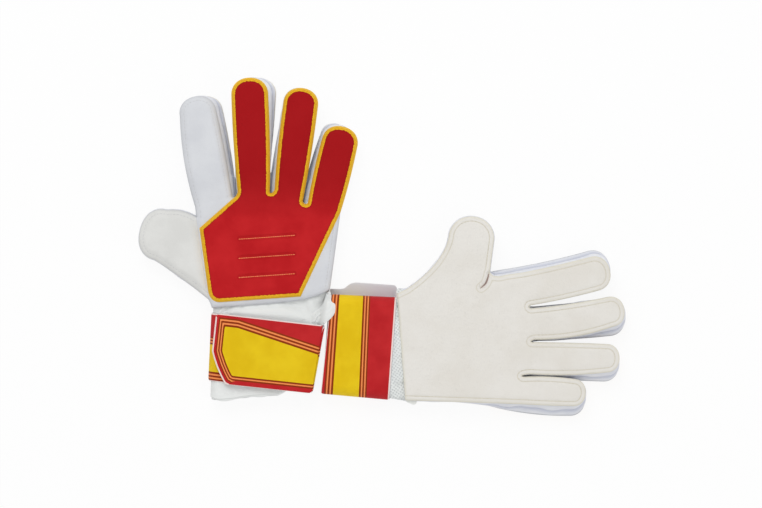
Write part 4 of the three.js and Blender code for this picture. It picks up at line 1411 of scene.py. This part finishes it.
# Painted shade: each perforation is a grey spot standing for the shade inside the hole.
hole = holes.smooth(0.34, 0.22)
cloth = cuff_mesh.noise(0.02, 3, 0.55).smooth(0.3, 0.7).mix(colour(228, 232, 231), colour(238, 241, 240))
cuff_mesh.wear(Base_Color=(hole * 0.4).mix(cloth, colour(176, 182, 184)), Roughness=0.75, Sheen_Weight=0.3,
               Specular_IOR_Level=0.25)
cuff_mesh.bumps((cuff_mesh.noise(0.006, 3, 0.6), 0.0003), (1 - hole, 0.00025))

CUFF_ROWS, CUFF_COLUMNS = 50, 64


def cuff_grid(wrist, over):
    """The cuff's cloth from inside the hand's wrist end to the hem."""
    def station(a, b, low, high, bent=None):
        width = np.linalg.norm(b - a)
        section = oval_half(width, low, high, over, CUFF_COLUMNS)
        middle = (low + high) / 2
        z = middle + over * np.maximum(over * (section[:, 1] - middle), 0.12)
        line = (a + b) / 2 + (section[:, :1] / width) * (b - a)
        if bent:
            line = np.array([wrist.at(x, bent(x)) for x in section[:, 0]])
        return np.column_stack([line, z])

    thumb, little = (np.array(p, float) for p in wrist.seam)
    strap = wrist.half(wrist.strap) - CUFF_IN
    foot = wrist.half(wrist.strap_end) - wrist.hem_in
    stations = [station(thumb + (1.5, 4), little + (-1.5, 4), TUCKED_LOW, TUCKED_HIGH),
                station(thumb + (1, -0.3), little + (-0.6, -0.3), TUCKED_LOW, TUCKED_HIGH),
                station(wrist.at(-strap, wrist.strap), wrist.at(strap, wrist.strap), CUFF_LOW, CUFF_HIGH),
                station(wrist.at(-foot, 0), wrist.at(foot, 0), CUFF_LOW, CUFF_HIGH,
                        lambda x: wrist.hem_at(x) + HEM_WIDE / 2)]
    gaps = [np.linalg.norm((b - a).mean(0)) for a, b in zip(stations, stations[1:])]
    walked = np.concatenate([[0], np.cumsum(gaps)])
    rows = np.linspace(0, walked[-1], CUFF_ROWS)
    grid = []
    for y in rows:
        k = min(int(np.searchsorted(walked, y, side="right")) - 1, len(stations) - 2)
        share = (y - walked[k]) / (walked[k + 1] - walked[k])
        grid.append(stations[k] * (1 - share) + stations[k + 1] * share)
    return np.array(grid), (rows > walked[2] - 1.5) & (rows < walked[2] + wrist.band + 1)


cuffs = {}
for side, glove in gloves.items():
    wrist = wrists[side]
    for over, name, finish in ((1, "cuff_back", cuff_cloth), (-1, "cuff_palm", cuff_mesh)):
        grid, under = cuff_grid(wrist, over)
        held = np.zeros(grid.shape[:2], bool)
        held[:4] = held[-2:] = True
        held[:, :2] = held[:, -2:] = True
        free = np.where(under, CUFF_HELD, CUFF_FREE)[:, None] * np.ones(grid.shape[1])
        grid = settle(grid, held, free, CUFF_EASE)
        inner = thickened(grid, CUFF_CLOTH if over > 0 else -CUFF_CLOTH)
        points, faces = two_faced(grid, inner)
        if over < 0:
            faces = [face[::-1] for face in faces]
        piece = make_piece(glove, f"{side}_{name}_cloth", points, [f[::-1] for f in faces], finish.material)
        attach(piece, "gloves")
        "cuff_cloth" if over > 0 else "cuff_mesh"
        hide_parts(f"{side}_{name}")
        cuffs[side, name] = piece, grid


# The hem: a doubled strip of the cuff's cloth folded round its lower edge and sewn down with one row.
HEM_THICK = 2.2
for side, glove in gloves.items():
    wrist = wrists[side]
    reach = wrist.half(wrist.strap_end) - wrist.hem_in
    ring = []
    for over in (1, -1):
        section = oval_half(2 * reach, CUFF_LOW, CUFF_HIGH, over, 90)
        ring.append(section if over > 0 else section[::-1][1:-1])
    ring = np.concatenate(ring)
    middle = (CUFF_LOW + CUFF_HIGH) / 2
    run = np.gradient(np.concatenate([ring[-1:], ring, ring[:1]]), axis=0)[1:-1]
    out = np.stack([run[:, 1], -run[:, 0]], 1)
    out /= np.linalg.norm(out, axis=1)[:, None]
    if ((ring - (0, middle)) * out).sum() < 0:
        out = -out
    walked = np.concatenate([[0], np.cumsum(np.linalg.norm(np.diff(ring, axis=0), axis=1))])
    waves = 0.35 * np.sin(walked / walked[-1] * 2 * math.pi * 7) + 0.25 * np.sin(walked / walked[-1] * 2 * math.pi * 11 + 1)
    rings = []
    for t in np.linspace(0, 2 * math.pi, 13)[:-1]:
        square = abs(math.cos(t)) ** 0.6 * math.copysign(1, math.cos(t))
        round_in = abs(math.sin(t)) ** 0.7 * math.copysign(1, math.sin(t))
        x = ring[:, 0] + out[:, 0] * ((round_in - 1) * HEM_THICK / 2)
        z = ring[:, 1] + out[:, 1] * ((round_in - 1) * HEM_THICK / 2)
        y = wrist.hem_at(ring[:, 0]) + HEM_WIDE / 2 * (1 + square) + 0.3 + waves
        rings.append(np.array([[*wrist.at(px, py), pz] for px, py, pz in zip(x, y, z)]))
    count, around = len(ring), len(rings)
    points = np.concatenate(rings)
    faces = []
    for r in range(around):
        for c in range(count):
            a, b = r * count + c, r * count + (c + 1) % count
            up = ((r + 1) % around) * count
            faces.append((a, b, up + (c + 1) % count, up + c))
    piece = make_piece(glove, f"{side}_cuff_hem_binding", points, faces, cuff_cloth.material)
    cloth_cut(*cuffs[side, "cuff_back"], "stretched", [f"{side}_hand_back_foam"], [piece])
    cloth_cut(*cuffs[side, "cuff_palm"], "stretched", [f"{side}_hand_latex"])
    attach(piece, "gloves")
    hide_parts(f"{side}_cuff_hem")


# The strap's band: a wide printed elastic faced with cloth and bound along both edges. It is sewn to the
# cuff and wraps the wrist from the tongue's fold, under the palm and over the thumb side on to the back.
BAND_END = 12
TONGUE_LOW = 17.6
BINDING = 1.0


def strap_print(name, back):
    """Red cloth with a yellow field, whose edge is drawn by two pairs of thin lines, and pale binding."""
    made = Finish(name)
    weave = made.node("TexBrick", {"offset": 0.5}, {"Vector": made.place, "Scale": 900.0, "Color1": (1, 1, 1, 1),
                      "Color2": (0.8, 0.8, 0.8, 1), "Mortar": (0, 0, 0, 1)}, "Fac")
    cloud = made.noise(0.018, 3, 0.55).smooth(0.3, 0.7)
    red = cloud.mix(colour(192, 28, 34), colour(206, 40, 44))
    yellow = cloud.mix(colour(236, 196, 8), colour(246, 210, 24))
    orange, dark = colour(255, 150, 84), colour(146, 50, 4)
    at, faded = made.attribute("field"), made.attribute("faded")
    paint = red
    stops = ((0.0, faded.mix(dark, red)), (0.0009, faded.mix(orange, red)), (0.0018, dark), (0.00285, orange),
             (0.00375, dark), (0.0049, yellow))
    for start, tint in stops:
        paint = at.smooth(start - 0.0001, start + 0.0001).mix(paint, tint)
    rim = made.attribute("edge")
    bound = rim.smooth(BINDING / 1000 + 0.00008, BINDING / 1000 - 0.00008)
    paint = bound.mix(paint, colour(252, 232, 227))
    paint = (rim < -0.00001).mix(paint, back)
    made.wear(Base_Color=paint, Roughness=0.6 + 0.2 * made.noise(0.003), Sheen_Weight=0.05,
              Specular_IOR_Level=0.15)
    made.bumps((made.noise(0.006, 3, 0.6), 0.00025), (weave, 0.00004))
    return made


def band_field(wrist, over, x):
    """How far within the outermost line of the yellow field places lie, from the band's hand side."""
    (first, first_slant), (last, last_slant) = wrist.print
    return np.minimum((over - first - first_slant * x) * 0.96, (wrist.band - last - last_slant * x - over) * 0.85)


strap_band = strap_print("strap_band", colour(188, 186, 190))
BAND_ROWS = (0.0, 0.15, 0.5, 1.0, 1.2)
for side, glove in gloves.items():
    wrist = wrists[side]
    rows = [*BAND_ROWS, *np.linspace(2, wrist.band - 2, 44), *(wrist.band - np.array(BAND_ROWS[::-1]))]
    outer, inner, fields, edges = [], [], [], []
    for over in rows:
        y = wrist.strap - over
        width = 2 * wrist.half(y)
        slim = 0.7 * max(0, 1 - min(over, wrist.band - over) / 1.8) ** 2
        faces_of = []
        for drawn in (slim, BAND_THICK - slim):
            low, high, wide = drawn, BAND_TOP - drawn, width - 2 * drawn
            upright = np.array([[wide / 2, TONGUE_LOW - 0.35], [wide / 2, BAND_TOP - BAND_THICK]])
            under = oval_half(wide, low, high, -1, 110)
            top = oval_half(wide, low, high, 1, 110)[::-1]
            top = top[top[:, 0] < BAND_END]
            section = joined(upright, under, top, [[BAND_END, high]])
            faces_of.append(spaced(section, 1.25) if not faces_of else section)
        walked = [np.concatenate([[0], np.cumsum(np.linalg.norm(np.diff(f, axis=0), axis=1))]) for f in faces_of]
        count = 150
        lines = [np.stack([np.interp(np.linspace(0, w[-1], count), w, f[:, k]) for k in (0, 1)], 1)
                 for f, w in zip(faces_of, walked)]
        ripple = 0.22 * np.sin(np.linspace(0, 19, count) + over * 0.12) * ease(min(over, wrist.band - over) / 8)
        for line, out in zip(lines, (outer, inner)):
            along = over * (1 + wrist.skew * line[:, 0] / wrist.half(y))
            place = np.array([wrist.at(x, wrist.strap - down) for x, down in zip(line[:, 0], along)])
            lift = np.where(line[:, 1] < BAND_THICK + 0.5, np.maximum(ripple, 0), np.minimum(ripple, 0) * (line[:, 1] > 12))
            out.append(np.column_stack([place, line[:, 1] + lift * 0.8]))
        fields.append(band_field(wrist, over, lines[0][:, 0]))
        edges.append(np.minimum(min(over - 0.3, wrist.band - over + 0.6), np.linspace(walked[0][-1], 0, count)))
    outer, inner = np.array(outer), np.array(inner)
    points, faces = two_faced(outer, inner)
    field = np.concatenate([np.concatenate(fields)] * 2) / 1000
    edge = np.concatenate([np.concatenate(edges), np.full(outer.shape[0] * outer.shape[1], -1.0)]) / 1000
    piece = make_piece(glove, f"{side}_strap_band_elastic", points, [f[::-1] for f in faces], strap_band.material,
                       field=field, edge=edge)
    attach(piece, "gloves")
    cloth_cut(piece, outer, "folded", [f"{side}_cuff_palm_cloth", f"{side}_cuff_back_cloth"])
    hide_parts(f"{side}_strap_band")


# The strap's tongue: the loose end of the same strap, folded back over the little-finger side. It has a
# slanted lower corner, print and binding like the band, and a plain grey underside that carries the hooks.
TONGUE_ROUND = 3
TONGUE_IN = (1.3, 0.3)  # of its root within the band's side, at its upper and lower end
TONGUE_PAST = 0.7  # how far the tongue's lower edge reaches past the band's
STRIPE_TOP = ((-60, 2.4), (-19.5, 2.4), (38.3, 14.6))  # the upper lines of the print, below the tongue's top edge


def tongue_loop(wrist):
    """The tongue's outline from its upper root, and its edges: the slanted end, the lower one and the upper."""
    wide, narrow = wrist.wide / 2 - TONGUE_IN[0], wrist.narrow / 2 - TONGUE_IN[1]
    tip = wrist.wide / 2 - wrist.tongue
    turns = [(TONGUE_ROUND * (1 - math.sin(t)), TONGUE_ROUND * (1 - math.cos(t))) for t in np.linspace(0, math.pi / 2, 8)]
    corner = [(tip + x, wrist.strap - y) for x, y in turns]
    cut = [(tip + x, wrist.strap_end + y) for x, y in wrist.cut]
    foot = [(narrow - x, wrist.strap_end - TONGUE_PAST + y) for x, y in turns]
    lines = (joined([(wide, wrist.strap)], corner, cut, foot, [(wide, wrist.strap)]),
             joined([corner[-1]], cut), (cut[-1], (narrow + 4, foot[0][1])), ((tip - 2, wrist.strap), (wide - 1.5, wrist.strap)))
    loop, *edges = (np.array([wrist.at(x, y) for x, y in spaced(line, 0.9)]) for line in lines)
    return loop[:-1], edges


strap_tongue = strap_print("strap_tongue", colour(226, 224, 228))
for side, glove in gloves.items():
    wrist = wrists[side]
    loop, (slanted, lower, upper) = tongue_loop(wrist)
    root = np.array([wrist.at(wrist.half(y) - gap, y) for y, gap in zip((wrist.strap, wrist.strap_end), TONGUE_IN)])

    def top(p):
        d = distance(p, [closed(loop)])
        fold = 0.75 * (1 - ease(distance(p, [root]) / 5))
        return TOP - 0.55 * rounding(d, 1.0) - fold - 0.12 * (1 + sway(p, 26, 5)) * ease(d / 6)

    def bottom(p):
        fold = 0.4 * (1 - ease(distance(p, [root]) / 3))
        return TONGUE_LOW + 0.2 * rounding(distance(p, [closed(loop)]), 1.0) - fold

    points, faces, tops = foam(loop, top, bottom, (0.25, 0.6, 1.1, 1.9, 2.7, 3.5, 4.3, 5.1), 1.3)
    plan = points[:, :2]
    local = np.stack([plan @ across(wrist.turn) - wrist.x, wrist.strap - plan @ heading(wrist.turn)], 1)
    stripe = np.interp(local[:, 0], *np.array(STRIPE_TOP).T)
    end, foot = distance(plan, [slanted]), distance(plan, [lower])
    field = np.minimum(np.minimum((end - 2.5) * 1.12, foot - 1.4), (local[:, 1] - stripe) * 0.84)
    faded = ease((np.minimum(end, local[:, 1] - stripe) - foot - 1.0) / 2.5)
    edge = np.minimum(np.minimum(end, foot + 0.7), distance(plan, [upper]) + 0.3)
    edge[tops:] = -1.0
    piece = make_piece(glove, f"{side}_strap_tongue_elastic", points, faces, strap_tongue.material,
                       field=field / 1000, edge=edge / 1000, faded=faded)
    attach(piece, f"{side}_strap_tongue")
    sheet_cut(points, faces, tops, wrist.turn)
    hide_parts(f"{side}_strap_tongue")


# The closure: a pad of woven loops sewn on the band's end and a pad of nylon hooks under the tongue.
LOOP_LOW, LOOP_THICK = 15.6, 0.8
HOOK_LOW = 16.7
PAD_MARGIN = 3
HOOK_LONG = 42
HOOKS_FROM_TIP = 14
HOOK_STALK = 0.28


def hook_tree():
    """Short nylon hooks standing in rows over a face."""
    tree = bpy.data.node_groups.new("rows_of_hooks", "GeometryNodeTree")
    for name, kind in (("Pad", "Geometry"), ("Stalk", "Float"), ("Thickness", "Float"), ("Nylon", "Material")):
        tree.interface.new_socket(name, in_out="INPUT", socket_type=f"NodeSocket{kind}")
    tree.interface.new_socket("Hooks", in_out="OUTPUT", socket_type="NodeSocketGeometry")
    add = tree.nodes.new
    link = tree.links.new
    given = add("NodeGroupInput").outputs
    stalk = add("GeometryNodeMeshCone")
    stalk.inputs["Vertices"].default_value = 6
    stalk.inputs["Radius Top"].default_value = 0.00012
    rows = add("GeometryNodeInstanceOnPoints")
    normal = add("GeometryNodeInputNormal")
    upright = add("FunctionNodeAlignRotationToVector")
    upright.axis = "Z"
    uneven = add("FunctionNodeRandomValue")
    uneven.data_type = "FLOAT_VECTOR"
    uneven.inputs["Min"].default_value = (0.9, 0.9, 0.85)
    uneven.inputs["Max"].default_value = (1.1, 1.1, 1.0)
    uneven.inputs["Seed"].default_value = 4
    real = add("GeometryNodeRealizeInstances")
    dyed = add("GeometryNodeSetMaterial")
    link(given["Thickness"], stalk.inputs["Radius Bottom"])
    link(given["Stalk"], stalk.inputs["Depth"])
    link(given["Pad"], rows.inputs["Points"])
    link(stalk.outputs["Mesh"], rows.inputs["Instance"])
    link(normal.outputs["Normal"], upright.inputs["Vector"])
    link(upright.outputs["Rotation"], rows.inputs["Rotation"])
    link(uneven.outputs["Value"], rows.inputs["Scale"])
    link(rows.outputs["Instances"], real.inputs["Geometry"])
    link(real.outputs["Geometry"], dyed.inputs["Geometry"])
    link(given["Nylon"], dyed.inputs["Material"])
    link(dyed.outputs["Geometry"], add("NodeGroupOutput").inputs["Hooks"])
    return tree


loop_pile = Finish("loop_pile")
curl = loop_pile.node("TexVoronoi", {}, {"Vector": loop_pile.place, "Scale": 1400.0}, "Distance")
loop_pile.wear(Base_Color=curl.smooth(0.1, 0.6).mix(colour(232, 232, 228), colour(206, 206, 202)), Roughness=0.95,
               Sheen_Weight=0.5)
loop_pile.bumps((curl, 0.0003), (loop_pile.noise(0.0008, 4, 0.7), 0.0002))
hook_nylon = Finish("hook_nylon")
hook_nylon.wear(Base_Color=hook_nylon.noise(0.002).mix(colour(196, 194, 200), colour(212, 210, 216)),
                Roughness=0.35 + 0.2 * hook_nylon.noise(0.001), Coat_Weight=0.1)
hook_nylon.bumps((hook_nylon.noise(0.0006, 2), 0.00005))
HOOKS = hook_tree()
for side, glove in gloves.items():
    wrist = wrists[side]
    flat = -wrist.narrow / 2 + BAND_TOP / 2
    hooks_start = max(wrist.wide / 2 - wrist.tongue + HOOKS_FROM_TIP, flat)
    low, high = wrist.strap_end + PAD_MARGIN, wrist.strap - PAD_MARGIN

    def pad(x0, x1, cut=0.01):
        corners = [(x0 + cut, low), (x1, low), (x1, high), (x0, high), (x0, low + 1.5 * cut), (x0 + cut, low)]
        return np.array([wrist.at(x, y) for x, y in spaced(corners, 1.2)])[:-1]

    loops = pad(flat + 1, BAND_END - PAD_MARGIN, 8)
    points, faces, tops = foam(loops, lambda p: LOOP_LOW + LOOP_THICK - 0.3 * rounding(distance(p, [closed(loops)]), 0.8)
                            - 0.06 * (1 + sway(p, 2.2, 11)), lambda p: np.full(len(p), LOOP_LOW - 0.25),
                            (0.3, 0.7), 1.3)
    piece = make_piece(glove, f"{side}_loop_pad_pile", points, faces, loop_pile.material)
    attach(piece, "gloves")
    sheet_cut(points, faces, tops, wrist.turn)
    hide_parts(f"{side}_loop_pad")
    hooks = pad(hooks_start, hooks_start + HOOK_LONG)
    base = HOOK_LOW + HOOK_STALK
    points, faces, _ = foam(hooks, lambda p: np.full(len(p), TONGUE_LOW + 0.1), lambda p: np.full(len(p), base),
                            (0.4,), 2.4)
    piece = make_piece(glove, f"{side}_hook_pad_tape", points, faces, hook_nylon.material)
    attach(piece, f"{side}_strap_tongue")
    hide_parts(f"{side}_hook_pad")
    rows = [wrist.at(x, y) for y in np.arange(low + 0.8, high - 0.5, 1.25)
            for x in np.arange(hooks_start + 0.8, hooks_start + HOOK_LONG - 0.5, 1.25)]
    across_rows = len(np.arange(hooks_start + 0.8, hooks_start + HOOK_LONG - 0.5, 1.25))
    down_rows = len(rows) // across_rows
    points = [(*p, base - HOOK_STALK / 2) for p in rows]
    faces = [(r * across_rows + c, (r + 1) * across_rows + c, (r + 1) * across_rows + c + 1, r * across_rows + c + 1)
             for r in range(down_rows - 1) for c in range(across_rows - 1)]
    source = bpy.data.meshes.new("hook_rows")
    source.from_pydata(glove.place(points).tolist(), [], [f[::-1] for f in faces] if glove.left else faces)
    piece = grown(HOOKS, f"{side}_hook_rows", source, Stalk=HOOK_STALK / 1000, Thickness=0.0003,
                  Nylon=hook_nylon.material)
    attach(piece, f"{side}_strap_tongue")


# The side of the right wrist: the cuff is wider than the strap there, so its seam allowance is pulled out into
# a crumpled flap of thin cloth on the little-finger side, which lies over the edge of the other glove's strap.
FLAP = ((38.9, 9.4), (40.2, 8.9), (40.6, 6.2), (40.7, 3.6), (41.4, 2.0), (43.2, 0.9), (43.6, -1.8), (43.0, -5.4),
        (40.8, -8.7), (37.5, -11.5), (34.8, -13.9), (31.0, -13.8), (26.6, -13.0), (26.2, -9.4), (27.6, -5.9),
        (31.0, -3.0), (34.6, 0.2), (36.4, 4.4), (37.2, 7.6))
FLAP_LINE = ((28.0, -12.0), (31.6, -6.5), (37.6, -1.5), (40.4, 4.0), (40.6, 10.0))  # along its folds
FLAP_FOLDS = ((-3.0, 1.3, 0.9), (-0.6, 1.9, 0.8), (1.6, 1.5, 0.7))  # place beside the line, height and width


def beside_line(p, line):
    """How far to the left of a line each point lies."""
    gaps = np.linalg.norm(p[:, None, :] - line[None], axis=2)
    nearest = gaps.argmin(1)
    run = np.gradient(line, axis=0)[nearest]
    run /= np.linalg.norm(run, axis=1)[:, None]
    away = p - line[nearest]
    return away[:, 1] * run[:, 0] - away[:, 0] * run[:, 1]


glove = gloves["right"]
loop = curved(FLAP, 0.7, True)[:-1]
spine = curved(FLAP_LINE, 0.4, False)


def flap_top(p):
    d = distance(p, [closed(loop)])
    across_folds = beside_line(p, spine) + 0.7 * sway(p, 13, 2)
    swell = ease(d / 2.2)
    over_strap = ease((p[:, 0] - 34.7 - 0.098 * (p[:, 1] - 8.2)) / 4.6) * ease((6.5 - p[:, 1]) / 5)
    z = 13.1 + 6.6 * over_strap + 0.8 * swell + 0.6 * sway(p, 6.5, 5) * swell * (1 - 0.6 * over_strap)
    for at, high, wide in FLAP_FOLDS:
        z += high * swell * (1 - 0.6 * over_strap) * np.exp(-(np.abs(across_folds - at) / wide) ** 1.5)
    return z - 0.3 * rounding(d, 0.6)


points, faces, tops = foam(loop, flap_top, lambda p: flap_top(p) - 0.7, (0.35, 0.8, 1.4), 0.75)
piece = make_piece(glove, "right_side_flap_cloth", points, faces, cuff_cloth.material, sharp=70)
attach(piece, "gloves")
sheet_cut(points, faces, tops, 0)

glove = gloves["left"]
corner = curved(((33.6, 3.6), (36.6, 3.2), (38.4, 6.4), (39.2, 8.4), (37.8, 10.2), (35.6, 10.4), (33.8, 8.0)), 0.5, True)[:-1]
points, faces, tops = foam(corner, lambda p: 5.6 + 0.5 * sway(p, 5, 8) - 0.4 * rounding(distance(p, [closed(corner)]), 0.6),
                           lambda p: 4.2 + 0.5 * sway(p, 5, 8), (0.3, 0.7), 0.7)
piece = make_piece(glove, "left_seam_end_cloth", points, faces, cuff_cloth.material, sharp=70)
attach(piece, "gloves")

bpy.context.view_layer.update()
